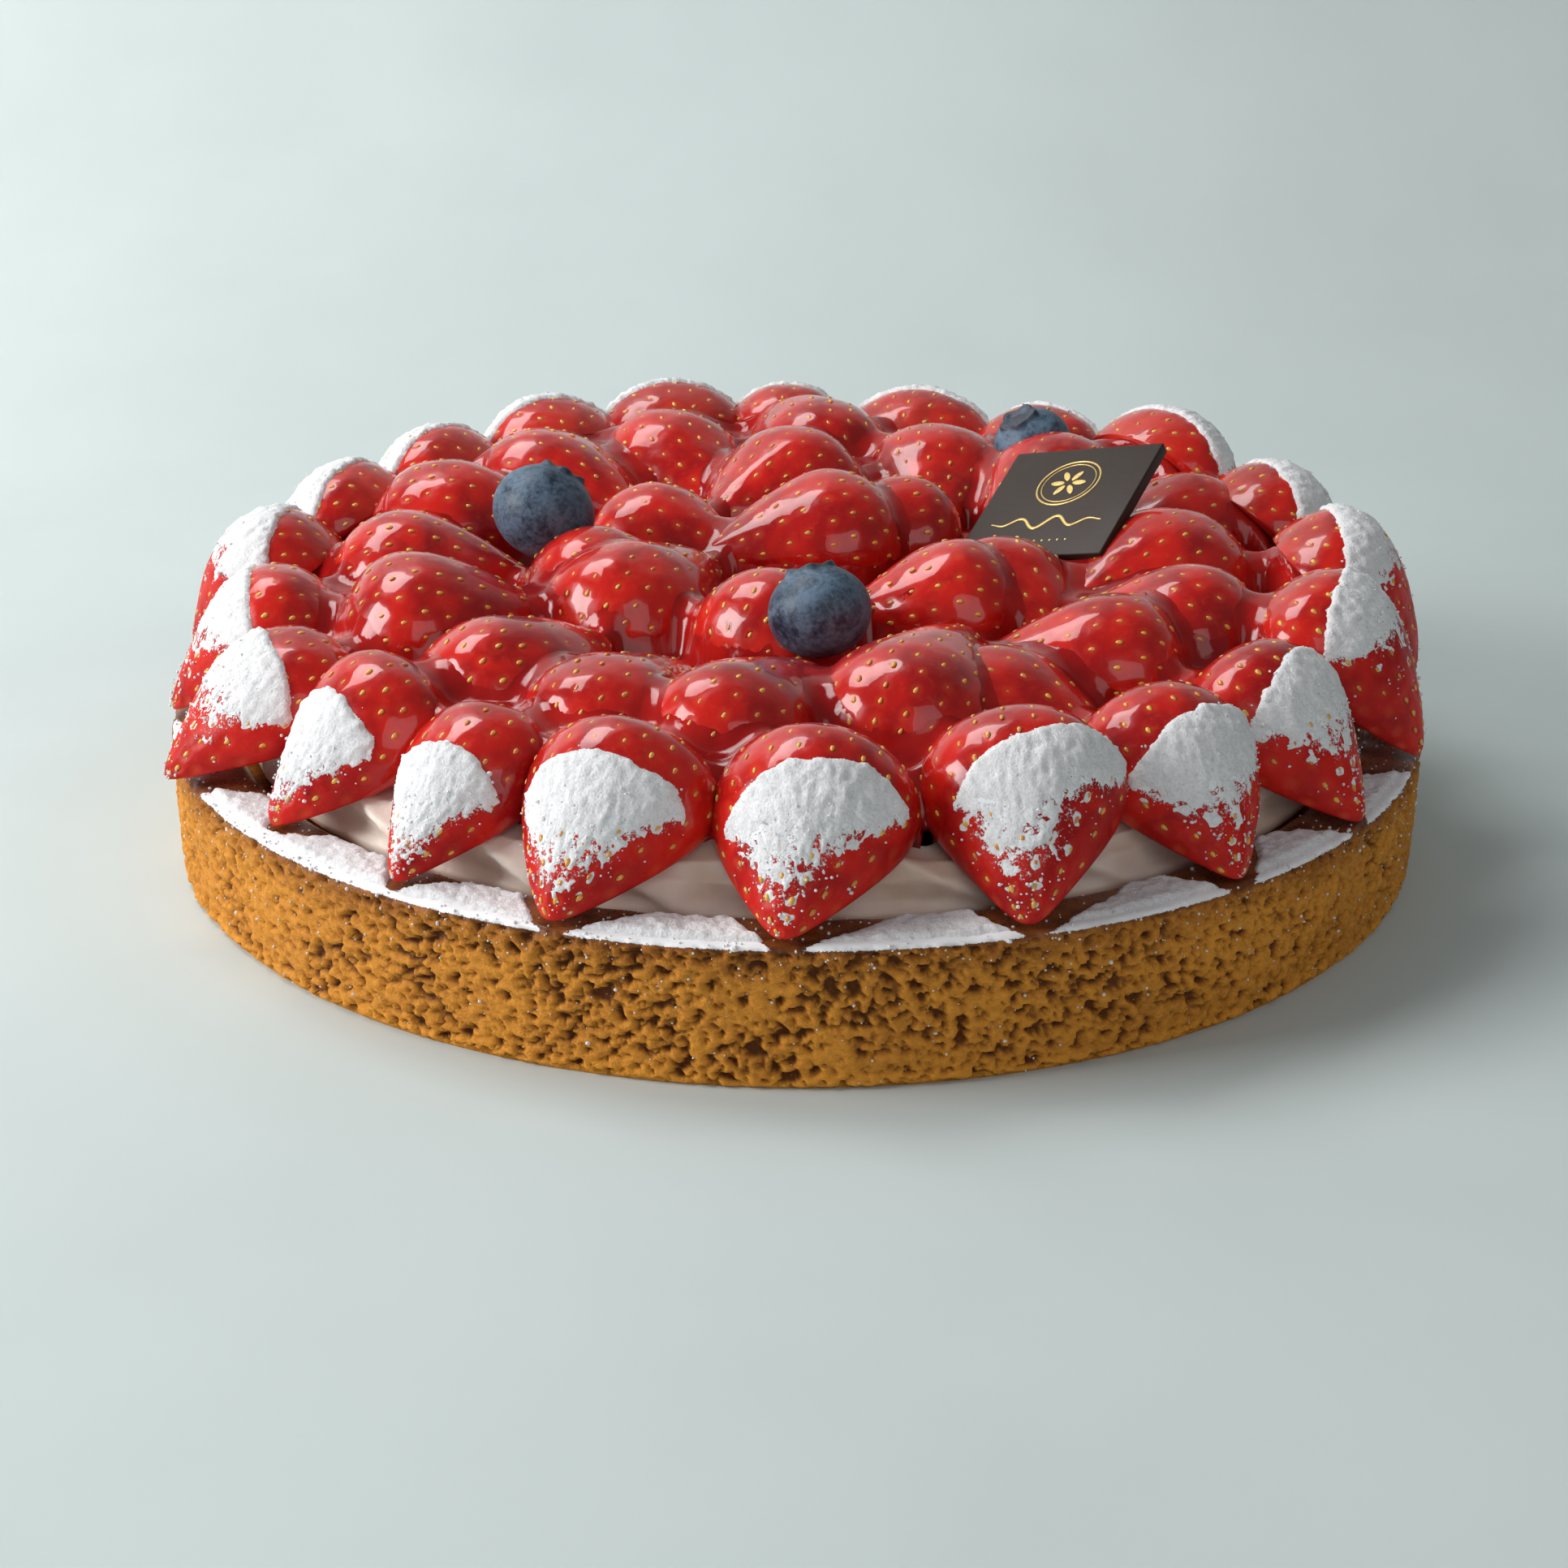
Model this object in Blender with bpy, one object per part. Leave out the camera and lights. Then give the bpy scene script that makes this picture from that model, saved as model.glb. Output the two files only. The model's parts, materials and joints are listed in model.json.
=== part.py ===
"""Strawberry tart, 240 mm across: a baked crust, a mound of cream, a rosette of strawberry halves,
three blueberries and a thin square of dark chocolate.

The origin is the centre of the crust's flat bottom, +Z is up and the front of the tart faces -Y.
Azimuths are counted anticlockwise from +X, so the front is at 270 degrees.
"""

import math

import bmesh
import bpy
from mathutils import Matrix, Vector

MM = 0.001

# Crust: a low round case with a shallow recess for the cream.
CRUST_RADIUS = 120.0 * MM
CRUST_HEIGHT = 25.2 * MM
CRUST_FOOT_INSET = 1.6 * MM
CRUST_EDGE_ROUND = 1.6 * MM
RIM_WIDTH = 12.0 * MM
RECESS_DEPTH = 4.0 * MM
CRUST_UNEVENNESS = 0.5 * MM
CRUST_SIDES = 60

# Cream: a piped layer that fills the recess and is mounded under the fruit.
CREAM_EDGE_GAP = 0.3 * MM
CREAM_EDGE_RADIUS = 106.5 * MM
CREAM_SHOULDER_RADIUS = 92.0 * MM
CREAM_EDGE_HEIGHT = 29.0 * MM
CREAM_SHOULDER_HEIGHT = 42.0 * MM
CREAM_TOP_HEIGHT = 44.0 * MM
CREAM_SWIRLS = 30
CREAM_SWIRL_DEPTH = 1.3 * MM

# Fruit: the surface that the middle and centre halves reach, which rises a little towards the back.
FRUIT_TOP_HEIGHT = 58.0 * MM
FRUIT_TOP_SLOPE = 0.03
TIP_HEIGHT_ON_RIM = 26.3 * MM
THICKNESS_TO_WIDTH = 0.48
TOUCHING_GAP = 0.45 * MM
BERRY_SEGMENTS = 12
BERRY_RINGS = 8

# Outer halves, tips outwards over the rim:
# azimuth and distance of the middle, turn from straight outwards, tilt of the tip down, length, width.
OUTER_HALVES = [
    (204, 105, 6, 19, 40, 33),
    (220, 99, -4, 26, 38, 32),
    (236, 100, -2, 24, 38, 28),
    (252, 101, -8, 22, 39, 35),
    (271, 101, -14, 22, 40, 36),
    (291, 102, -22, 27, 40, 35),
    (309, 102, -8, 26, 39, 33),
    (325, 103, -6, 29, 38, 34),
    (342, 105, -4, 41, 40, 34),
    (2, 107, 0, 44, 40, 34),
    (21, 106, 0, 47, 40, 34),
    (40, 104, 0, 55, 42, 36),
    (57, 102, 0, 48, 40, 34),
    (74, 102, 0, 46, 40, 37),
    (91, 102, 0, 52, 41, 30),
    (106, 102, 0, 52, 40, 36),
    (122, 104, 0, 48, 40, 35),
    (138, 105, 0, 45, 39, 34),
    (154, 106, 0, 41, 38, 34),
    (170, 108, 0, 35, 38, 33),
    (187, 103, 0, 28, 38, 33),
]

# Middle halves, tips inwards: azimuth and distance of the middle, turn from straight inwards,
# tilt of the tip down, length, width, rise above the fruit surface.
MIDDLE_HALVES = [
    (195, 67, 0, -4, 41, 34, 1),
    (223, 66, 2, -10, 41, 32, 0),
    (243, 67, -6, -12, 39, 30, -1),
    (263, 66, -28, -14, 42, 31, 0),
    (304, 72, -162, 4, 42, 30, -4),
    (291, 60, -48, -20, 45, 34, 2),
    (24, 82, 10, 0, 38, 32, 0),
    (4, 68, 40, -6, 44, 36, 2),
    (342, 71, -10, -4, 39, 34, 1),
    (322, 64, 40, -6, 39, 34, 1),
    (46, 74, 14, -4, 40, 34, 2),
    (65, 70, 20, -4, 40, 35, 1),
    (88, 87, -150, -12, 42, 30, 4),
    (108, 79, 10, -4, 42, 36, 1),
    (128, 79, 14, -4, 44, 36, 1),
    (149, 77, 24, -4, 42, 34, 1),
    (173, 71, 4, -4, 42, 34, 0),
]

# Centre halves, in the same terms as the middle ones.
CENTRE_HALVES = [
    (178, 34, 28, -4, 38, 30, 0),
    (130, 38, 10, -4, 36, 30, -1),
    (95, 55, -46, -4, 40, 35, 3),
    (62, 36, -40, -4, 34, 28, 0),
    (266, 22, -30, -8, 38, 30, 1),
    (350, 43, 122, 2, 34, 29, -1),
    (338, 27, 32, -6, 33, 32, 1),
    (190, 29, 44, -10, 44, 33, 1),
    (88, 25, -72, -2, 42, 34, 3),
]

# Blueberries: azimuth and distance of the middle, its height, diameter, azimuth and tilt of the crown.
BLUEBERRIES = [
    (170, 50, 58.5, 20.5, 40, 35),
    (276, 38, 53.5, 19.0, 120, 25),
    (53, 84, 57, 17.5, 200, 30),
]
BLUEBERRY_FLATTENING = 0.9
CROWN_RADIUS = 3.4 * MM
CROWN_DEPTH = 1.2 * MM

# Chocolate: a thin square that lies back on the fruit, facing up and a little to the front left.
PLAQUE_SIDE = 34.0 * MM
PLAQUE_THICKNESS = 2.4 * MM
PLAQUE_PLACE = (22, 56.5, 56.5)
PLAQUE_FACING = 211
PLAQUE_TILT = 29
PLAQUE_SPIN = 27


def polar(azimuth, distance, height=0.0):
    """The point at this azimuth in degrees, distance and height."""
    angle = math.radians(azimuth)
    return Vector((distance * math.cos(angle), distance * math.sin(angle), height))


def material(name, color, roughness):
    """A Principled material of one colour."""
    found = bpy.data.materials.new(name)
    found.use_nodes = True
    shader = found.node_tree.nodes["Principled BSDF"]
    shader.inputs["Base Color"].default_value = (*color, 1.0)
    shader.inputs["Roughness"].default_value = roughness
    shader.inputs["Metallic"].default_value = 0.0
    return found


def add_object(name, shape, collection, finish=None):
    """The bmesh as a named object in the collection."""
    bmesh.ops.recalc_face_normals(shape, faces=shape.faces)
    mesh = bpy.data.meshes.new(name)
    shape.to_mesh(mesh)
    shape.free()
    made = bpy.data.objects.new(name, mesh)
    collection.objects.link(made)
    if finish:
        mesh.materials.append(finish)
    return made


def shade_round(made, angle=40):
    """Smooth shading with sharp edges past the angle."""
    made.data.shade_smooth()
    made.data.set_sharp_from_angle(angle=math.radians(angle))


def cut(made, cutters):
    """Takes every cutter away from the object."""
    for cutter in cutters:
        modifier = made.modifiers.new("cut " + cutter.name, "BOOLEAN")
        modifier.operation = "DIFFERENCE"
        modifier.solver = "EXACT"
        modifier.object = cutter


def turned_solid(name, profile, sides, collection, finish):
    """A profile of (distance, height) points, turned about +Z into a closed solid."""
    shape = bmesh.new()
    verts = [shape.verts.new((distance, 0.0, height)) for distance, height in profile]
    edges = [shape.edges.new(pair) for pair in zip(verts, verts[1:])]
    bmesh.ops.spin(
        shape,
        geom=verts + edges,
        cent=(0, 0, 0),
        axis=(0, 0, 1),
        angle=2 * math.pi,
        steps=sides,
        use_merge=True,
    )
    bmesh.ops.remove_doubles(shape, verts=shape.verts, dist=0.00001)
    return add_object(name, shape, collection, finish)


def make_crust(collection):
    """The baked case: flat below, a rounded rim, a recess for the cream and a slightly uneven side."""
    floor = CRUST_HEIGHT - RECESS_DEPTH
    inner = CRUST_RADIUS - RIM_WIDTH
    profile = [
        (0.0, floor),
        (inner - RECESS_DEPTH / 2, floor),
        (inner, CRUST_HEIGHT - 0.3 * MM),
        (CRUST_RADIUS - CRUST_EDGE_ROUND, CRUST_HEIGHT),
        (CRUST_RADIUS, CRUST_HEIGHT - CRUST_EDGE_ROUND),
        (CRUST_RADIUS, CRUST_HEIGHT / 3),
        (CRUST_RADIUS - CRUST_FOOT_INSET, 0.0),
        (0.0, 0.0),
    ]
    finish = material("baked crust", (0.48, 0.23, 0.055), 0.75)
    crust = turned_solid("crust", profile, CRUST_SIDES, collection, finish)
    for vert in crust.data.vertices:
        distance = math.hypot(vert.co.x, vert.co.y)
        if distance < inner + RIM_WIDTH / 2:
            continue
        azimuth = math.atan2(vert.co.y, vert.co.x)
        wave = math.sin(5 * azimuth + 1.0) + 0.6 * math.sin(13 * azimuth + 90 * vert.co.z)
        reach = 1 + CRUST_UNEVENNESS * wave / distance
        vert.co.x *= reach
        vert.co.y *= reach
    shade_round(crust)
    return crust


def make_cream(collection):
    """The piped layer: swirls round its edge, a steep shoulder and a nearly level top."""
    floor = CRUST_HEIGHT - RECESS_DEPTH + CREAM_EDGE_GAP
    foot = CRUST_RADIUS - RIM_WIDTH - RECESS_DEPTH / 2 - CREAM_EDGE_GAP
    profile = [
        (0.0, CREAM_TOP_HEIGHT),
        (CREAM_SHOULDER_RADIUS * 0.6, CREAM_TOP_HEIGHT - 0.5 * MM),
        (CREAM_SHOULDER_RADIUS, CREAM_SHOULDER_HEIGHT),
        (CREAM_SHOULDER_RADIUS + 8 * MM, (CREAM_SHOULDER_HEIGHT + CREAM_EDGE_HEIGHT) / 2 + 2 * MM),
        (CREAM_EDGE_RADIUS, CREAM_EDGE_HEIGHT),
        (foot, CRUST_HEIGHT),
        (foot - RECESS_DEPTH / 2, floor),
        (0.0, floor),
    ]
    finish = material("cream", (0.86, 0.78, 0.70), 0.5)
    cream = turned_solid("cream", profile, CREAM_SWIRLS * 2, collection, finish)
    for vert in cream.data.vertices:
        distance = math.hypot(vert.co.x, vert.co.y)
        if distance < CREAM_SHOULDER_RADIUS or vert.co.z < CRUST_HEIGHT:
            continue
        azimuth = math.atan2(vert.co.y, vert.co.x)
        reach = 1 - CREAM_SWIRL_DEPTH * (1 - math.cos(CREAM_SWIRLS * azimuth)) / distance
        vert.co.x *= reach
        vert.co.y *= reach
    shade_round(cream)
    return cream


def half_strawberry(length, width, thickness, grow=0.0):
    """A half strawberry lying on its cut face, stem end at -X and tip at +X, grown on every side."""
    shape = bmesh.new()
    bmesh.ops.create_uvsphere(shape, u_segments=BERRY_SEGMENTS, v_segments=BERRY_RINGS, radius=1.0)
    bmesh.ops.rotate(shape, verts=shape.verts, cent=(0, 0, 0), matrix=Matrix.Rotation(math.pi / 2, 3, "Y"))
    cut_geometry = bmesh.ops.bisect_plane(
        shape,
        geom=shape.verts[:] + shape.edges[:] + shape.faces[:],
        dist=0.0001,
        plane_co=(0, 0, 0),
        plane_no=(0, 0, -1),
        clear_outer=True,
    )
    rim = [item for item in cut_geometry["geom_cut"] if isinstance(item, bmesh.types.BMEdge)]
    bmesh.ops.edgeloop_fill(shape, edges=rim)
    for vert in shape.verts:
        along = (vert.co.x + 1) / 2
        fullness = 1.33 - 0.8 * along
        vert.co.x *= length / 2 + grow
        vert.co.y *= fullness * (width / 2 + grow)
        vert.co.z *= fullness * (thickness + grow)
        if abs(vert.co.z) < 0.00001:
            vert.co.z = -grow
    return shape


def place(azimuth, distance, height, heading, tip_down):
    """The matrix that sets a half down by the middle of its cut face."""
    return (
        Matrix.Translation(polar(azimuth, distance * MM, height))
        @ Matrix.Rotation(math.radians(heading), 4, "Z")
        @ Matrix.Rotation(math.radians(tip_down), 4, "Y")
    )


def planned_halves():
    """Name, matrix, length, width and thickness of each half, from the lowest layer up."""
    planned = []
    for number, (azimuth, distance, turn, tip_down, length, width) in enumerate(OUTER_HALVES, 1):
        height = TIP_HEIGHT_ON_RIM + length * MM / 2 * math.sin(math.radians(tip_down))
        matrix = place(azimuth, distance, height, azimuth + turn, tip_down)
        planned.append((f"strawberry_outer_{number:02d}", matrix, length, width))
    for ring, rows in (("middle", MIDDLE_HALVES), ("centre", CENTRE_HALVES)):
        for number, row in enumerate(rows, 1):
            azimuth, distance, turn, tip_down, length, width, rise = row
            top = FRUIT_TOP_HEIGHT + FRUIT_TOP_SLOPE * polar(azimuth, distance * MM).y + rise * MM
            height = top - THICKNESS_TO_WIDTH * width * MM
            matrix = place(azimuth, distance, height, azimuth + 180 + turn, tip_down)
            planned.append((f"strawberry_{ring}_{number:02d}", matrix, length, width))
    return [(*row, THICKNESS_TO_WIDTH * row[3]) for row in planned]


def make_strawberries(collection, cutters, above):
    """Every half, each one cut back where a half above it or one of the pieces above all rests on it.
    Returns their grown copies."""
    finish = material("strawberry", (0.62, 0.02, 0.012), 0.18)
    made = []
    for name, matrix, length, width, thickness in planned_halves():
        sizes = (length * MM, width * MM, thickness * MM)
        half = add_object(name, half_strawberry(*sizes), collection, finish)
        half.matrix_world = matrix
        shade_round(half, 60)
        grown = add_object("room for " + name, half_strawberry(*sizes, grow=TOUCHING_GAP), cutters)
        grown.matrix_world = matrix
        made.append((half, grown))
    for lower, (half, grown) in enumerate(made):
        others = [other for _, other in made[lower + 1 :]] + above
        cut(half, [other for other in others if meets(half, other)])
    return [grown for _, grown in made]


def blueberry_shape(diameter, grow=0.0):
    """A slightly flattened ball with a shallow crown pit at +Z."""
    shape = bmesh.new()
    bmesh.ops.create_uvsphere(shape, u_segments=12, v_segments=10, radius=diameter / 2)
    for vert in shape.verts:
        vert.co.z *= BLUEBERRY_FLATTENING
        if vert.co.z > 0 and math.hypot(vert.co.x, vert.co.y) < CROWN_RADIUS:
            vert.co.z -= CROWN_DEPTH
    for vert in shape.verts:
        vert.co += vert.co.normalized() * grow
    return shape


def make_blueberries(collection, cutters):
    """Every blueberry. Returns their grown copies."""
    finish = material("blueberry skin", (0.03, 0.045, 0.09), 0.5)
    grown = []
    for number, (azimuth, distance, height, diameter, facing, tilt) in enumerate(BLUEBERRIES, 1):
        matrix = (
            Matrix.Translation(polar(azimuth, distance * MM, height * MM))
            @ Matrix.Rotation(math.radians(facing), 4, "Z")
            @ Matrix.Rotation(math.radians(tilt), 4, "Y")
        )
        name = f"blueberry_{number}"
        berry = add_object(name, blueberry_shape(diameter * MM), collection, finish)
        berry.matrix_world = matrix
        shade_round(berry)
        room = add_object("room for " + name, blueberry_shape(diameter * MM, grow=TOUCHING_GAP), cutters)
        room.matrix_world = matrix
        grown.append(room)
    return grown


def plaque_shape(grow=0.0):
    """A thin square slab with its face towards +Z."""
    shape = bmesh.new()
    bmesh.ops.create_cube(shape, size=1.0)
    side = PLAQUE_SIDE + 2 * grow
    bmesh.ops.scale(shape, vec=(side, side, PLAQUE_THICKNESS + 2 * grow), verts=shape.verts)
    return shape


def make_plaque(collection, cutters):
    """The chocolate square. Returns its grown copy."""
    azimuth, distance, height = PLAQUE_PLACE
    matrix = (
        Matrix.Translation(polar(azimuth, distance * MM, height * MM))
        @ Matrix.Rotation(math.radians(PLAQUE_FACING), 4, "Z")
        @ Matrix.Rotation(math.radians(PLAQUE_TILT), 4, "Y")
        @ Matrix.Rotation(math.radians(PLAQUE_SPIN), 4, "Z")
    )
    finish = material("dark chocolate", (0.035, 0.012, 0.008), 0.3)
    plaque = add_object("plaque", plaque_shape(), collection, finish)
    plaque.matrix_world = matrix
    room = add_object("room for plaque", plaque_shape(grow=TOUCHING_GAP), cutters)
    room.matrix_world = matrix
    return room


def meets(first, second):
    """Whether the boxes of two objects in the world overlap."""
    boxes = []
    for item in (first, second):
        corners = [item.matrix_basis @ vert.co for vert in item.data.vertices]
        low = [min(corner[axis] for corner in corners) for axis in range(3)]
        high = [max(corner[axis] for corner in corners) for axis in range(3)]
        boxes.append((low, high))
    (low_a, high_a), (low_b, high_b) = boxes
    return all(low_a[axis] < high_b[axis] and low_b[axis] < high_a[axis] for axis in range(3))


def main():
    for old in list(bpy.data.objects):
        bpy.data.objects.remove(old)
    tart = bpy.data.collections.new("strawberry tart")
    bpy.context.scene.collection.children.link(tart)
    cutters = bpy.data.collections.new("cutters")
    bpy.context.scene.collection.children.link(cutters)

    crust = make_crust(tart)
    cream = make_cream(tart)
    above = [*make_blueberries(tart, cutters), make_plaque(tart, cutters)]
    grown = make_strawberries(tart, cutters, above)
    cut(crust, [room for room in grown if meets(crust, room)])
    cut(cream, [room for room in grown if meets(cream, room)])

    for cutter in cutters.objects:
        cutter.hide_render = True
        cutter.display_type = "WIRE"


main()
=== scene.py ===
import json
import math

import bpy
import numpy as np
from mathutils import Matrix, Vector, noise

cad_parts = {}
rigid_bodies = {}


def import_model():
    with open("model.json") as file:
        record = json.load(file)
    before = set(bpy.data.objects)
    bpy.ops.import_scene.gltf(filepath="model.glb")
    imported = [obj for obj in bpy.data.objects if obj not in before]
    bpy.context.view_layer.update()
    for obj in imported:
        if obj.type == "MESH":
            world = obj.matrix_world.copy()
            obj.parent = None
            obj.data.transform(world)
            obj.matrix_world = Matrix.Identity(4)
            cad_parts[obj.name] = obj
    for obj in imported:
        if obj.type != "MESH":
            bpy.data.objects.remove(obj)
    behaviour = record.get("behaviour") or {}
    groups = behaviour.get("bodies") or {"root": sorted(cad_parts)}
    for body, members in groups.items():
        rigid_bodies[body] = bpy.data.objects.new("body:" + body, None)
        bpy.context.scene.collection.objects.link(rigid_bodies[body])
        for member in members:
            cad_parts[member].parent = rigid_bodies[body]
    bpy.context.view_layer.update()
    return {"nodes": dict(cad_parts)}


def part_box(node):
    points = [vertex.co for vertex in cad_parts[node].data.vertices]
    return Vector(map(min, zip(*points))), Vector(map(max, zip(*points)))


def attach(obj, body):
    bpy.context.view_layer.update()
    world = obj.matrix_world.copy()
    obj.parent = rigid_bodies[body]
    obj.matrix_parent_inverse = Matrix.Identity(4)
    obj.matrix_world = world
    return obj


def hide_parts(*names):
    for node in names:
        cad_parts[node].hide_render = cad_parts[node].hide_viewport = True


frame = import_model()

bl_info = {
    "name": "Strawberry Tart",
    "version": (1, 0, 0),
    "blender": (4, 5, 0),
    "location": "3D View > Sidebar > Tart",
    "description": "Dresses the tart's solids with baked crust, piped cream, glazed half berries and icing sugar",
    "category": "Add Mesh",
}

MM = 0.001
ROOT = "root"

# The corners of a half berry's solid along its back, which show how it lies.
MIDDLE_TO_TOP = 0.93  # height over the middle of the cut face, as a share of the greatest height
STEP_TO_LENGTH = 0.1913  # from under the highest corner to the middle, as a share of the length
THICKNESS_TO_WIDTH = 0.48
SHOULDER_FULLNESS = 1.33  # girth at the stem end, against half the width
FULLNESS_LOSS = 0.80  # what the girth has lost at the tip

HEIGHT_MAP_STEP = 0.8 * MM
HEIGHT_MAP_REACH = 126 * MM

CRUST_STEPS_ROUND = 1380
CREAM_STEPS_ROUND = 620
CREAM_EDGE_HEIGHT = 29.5 * MM
CREAM_TOP_DROP = 6 * MM  # keeps the cream under the fruit
GLAZE_FLOOR_DROP = 3.5 * MM  # lowest glaze, below the top of the cream's solid
SEED_THICKNESS = 0.55 * MM
BARE_SEED_DEPTH = 0.24 * MM
GLAZED_SEED_DEPTH = 0.14 * MM
HIDDEN_SEED_DEPTH = 3.0 * MM  # a seed this far under the fruit above it is left out
BLUEBERRY_FLATTENING = 0.9


# ---------------------------------------------------------------------------
# Settings
# ---------------------------------------------------------------------------


def length(name, description, default):
    return bpy.props.FloatProperty(
        name=name, description=description, default=default, min=0.0, precision=5, unit="LENGTH"
    )


def amount(name, description, default):
    return bpy.props.FloatProperty(name=name, description=description, default=default)


def colour(name, description, default):
    return bpy.props.FloatVectorProperty(
        name=name, description=description, default=default, size=3, min=0.0, max=1.0, subtype="COLOR"
    )


class TartCrustSettings(bpy.types.PropertyGroup):
    rim_width: length("Rim Width", "Width of the flat rim at the top", 12 * MM)
    edge_round: length("Edge Round", "Radius of the rim's edges", 1.6 * MM)
    pore_spacing: length("Pore Spacing", "Distance between the holes of the crumb", 2.1 * MM)
    pore_depth: length("Pore Depth", "Depth of the deepest holes", 1.5 * MM)
    golden: colour("Golden", "Crumb where it is palest", (0.78, 0.315, 0.034))
    brown: colour("Brown", "Crumb where it has baked darkest", (0.27, 0.080, 0.010))
    caramel: colour("Caramel", "Smooth skin of the rim", (0.26, 0.075, 0.018))


class TartCreamSettings(bpy.types.PropertyGroup):
    folds: bpy.props.IntProperty(
        name="Folds", description="Piped folds round the filling", default=26, min=3
    )
    fold_depth: length("Fold Depth", "How far a fold stands out", 2.6 * MM)
    twist: bpy.props.FloatProperty(
        name="Twist", description="Turn of a fold on its way up", default=math.radians(17), subtype="ANGLE"
    )
    ivory: colour("Ivory", "Cream", (0.90, 0.78, 0.68))


class TartBerrySettings(bpy.types.PropertyGroup):
    seed_length: length("Seed Length", "Length of a seed", 1.35 * MM)
    seed_width: length("Seed Width", "Width of a seed", 0.85 * MM)
    seed_spacing: length("Seed Spacing", "Distance between the rows of seeds", 3.9 * MM)
    dimple_radius: length("Dimple Radius", "Radius of the hollow round a seed", 1.5 * MM)
    dimple_depth: length("Dimple Depth", "Depth of the hollow on bare skin", 0.42 * MM)
    red: colour("Red", "Skin of a ripe half berry", (0.62, 0.014, 0.008))
    deep_red: colour("Deep Red", "Darkest patches of the skin", (0.36, 0.005, 0.006))
    seed_yellow: colour("Seed Yellow", "Seeds", (0.78, 0.42, 0.05))


class TartGlazeSettings(bpy.types.PropertyGroup):
    reach: length("Reach", "Radius of the glazed part of the top", 99 * MM)
    fillet: length("Fillet", "Radius of the glaze that fills a crease", 2.4 * MM)
    film: length("Film", "How far the glaze stays below the berries' backs", 0.35 * MM)
    jelly: colour("Jelly", "Glaze where it lies deep", (0.30, 0.006, 0.006))


class TartSugarSettings(bpy.types.PropertyGroup):
    shield_radius: length("Shield Radius", "Radius of the round card that kept the sugar off the top", 103 * MM)
    shield_forward: length("Shield Forward", "How far the card lay towards the front", 1 * MM)
    depth: length("Depth", "Thickness of the thickest sugar on a berry", 0.75 * MM)
    rim_depth: length("Rim Depth", "Thickness of the thickest sugar on the rim", 1.5 * MM)
    grain: length("Grain", "Radius of a loose grain", 0.22 * MM)
    white: colour("White", "Icing sugar", (0.93, 0.93, 0.94))


class TartBlueberrySettings(bpy.types.PropertyGroup):
    crown_radius: length("Crown Radius", "Radius of the ring of dry sepals", 3.4 * MM)
    crown_height: length("Crown Height", "How far the sepals stand up", 1.1 * MM)
    blue: colour("Blue", "Skin under the bloom", (0.010, 0.018, 0.038))
    bloom: colour("Bloom", "Waxy bloom", (0.12, 0.19, 0.27))


class TartPlaqueSettings(bpy.types.PropertyGroup):
    edge: length("Edge", "Width of the worn edge", 0.35 * MM)
    print_depth: length("Print Depth", "Thickness of the gold motif", 0.12 * MM)
    chocolate: colour("Chocolate", "Dark chocolate", (0.030, 0.014, 0.009))
    gold: colour("Gold", "Gold motif", (0.72, 0.50, 0.18))


class TartStageSettings(bpy.types.PropertyGroup):
    camera_distance: length("Camera Distance", "From the camera to the point it looks at", 555.14 * MM)
    camera_target_height: length("Target Height", "Height of the point the camera looks at", 5.182 * MM)
    camera_sideways: amount("Sideways", "Sideways place of the camera, in metres", -2.279 * MM)
    camera_pitch: bpy.props.FloatProperty(
        name="Pitch", description="How far the camera looks down", default=0.378, subtype="ANGLE"
    )
    camera_roll: bpy.props.FloatProperty(
        name="Roll", description="Turn of the camera about its own axis", default=0.004, subtype="ANGLE"
    )
    lens: amount("Lens", "Focal length in millimetres on a 36 mm sensor", 64.16)
    floor: colour("Floor", "Table", (0.62, 0.69, 0.68))
    wall: colour("Wall", "Backdrop", (0.50, 0.58, 0.57))
    sweep_start: length("Sweep Start", "Where the table starts to curve up into the backdrop", 0.22)
    sweep_radius: length("Sweep Radius", "Radius of that curve", 0.40)
    key_power: amount("Window Power", "Watts of the soft light at the left", 9.5)
    sky_power: amount("Skylight Power", "Watts of the soft light above the back", 6.5)
    front_power: amount("Front Power", "Watts of the wide dim light in front", 3.6)
    fill: amount("Fill", "Strength of the light from all round", 0.16)


# ---------------------------------------------------------------------------
# Shader arithmetic
# ---------------------------------------------------------------------------


class Value:
    """A socket that holds a number, with arithmetic that adds Math nodes."""

    def __init__(self, finish, socket):
        self.finish = finish
        self.socket = socket

    def maths(self, operation, *values, clamp=False):
        return self.finish.node(
            "ShaderNodeMath", {"operation": operation, "use_clamp": clamp}, dict(enumerate(values))
        )

    def __add__(self, other):
        return self.maths("ADD", self, other)

    def __radd__(self, other):
        return self.maths("ADD", other, self)

    def __sub__(self, other):
        return self.maths("SUBTRACT", self, other)

    def __rsub__(self, other):
        return self.maths("SUBTRACT", other, self)

    def __mul__(self, other):
        return self.maths("MULTIPLY", self, other)

    def __rmul__(self, other):
        return self.maths("MULTIPLY", other, self)

    def step(self, low, high):
        """0 at low or less and 1 at high or more, with a soft rise between."""
        return self.finish.node(
            "ShaderNodeMapRange",
            {"interpolation_type": "SMOOTHSTEP"},
            {"Value": self, "From Min": low, "From Max": high, "To Min": 0.0, "To Max": 1.0},
        )


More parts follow.
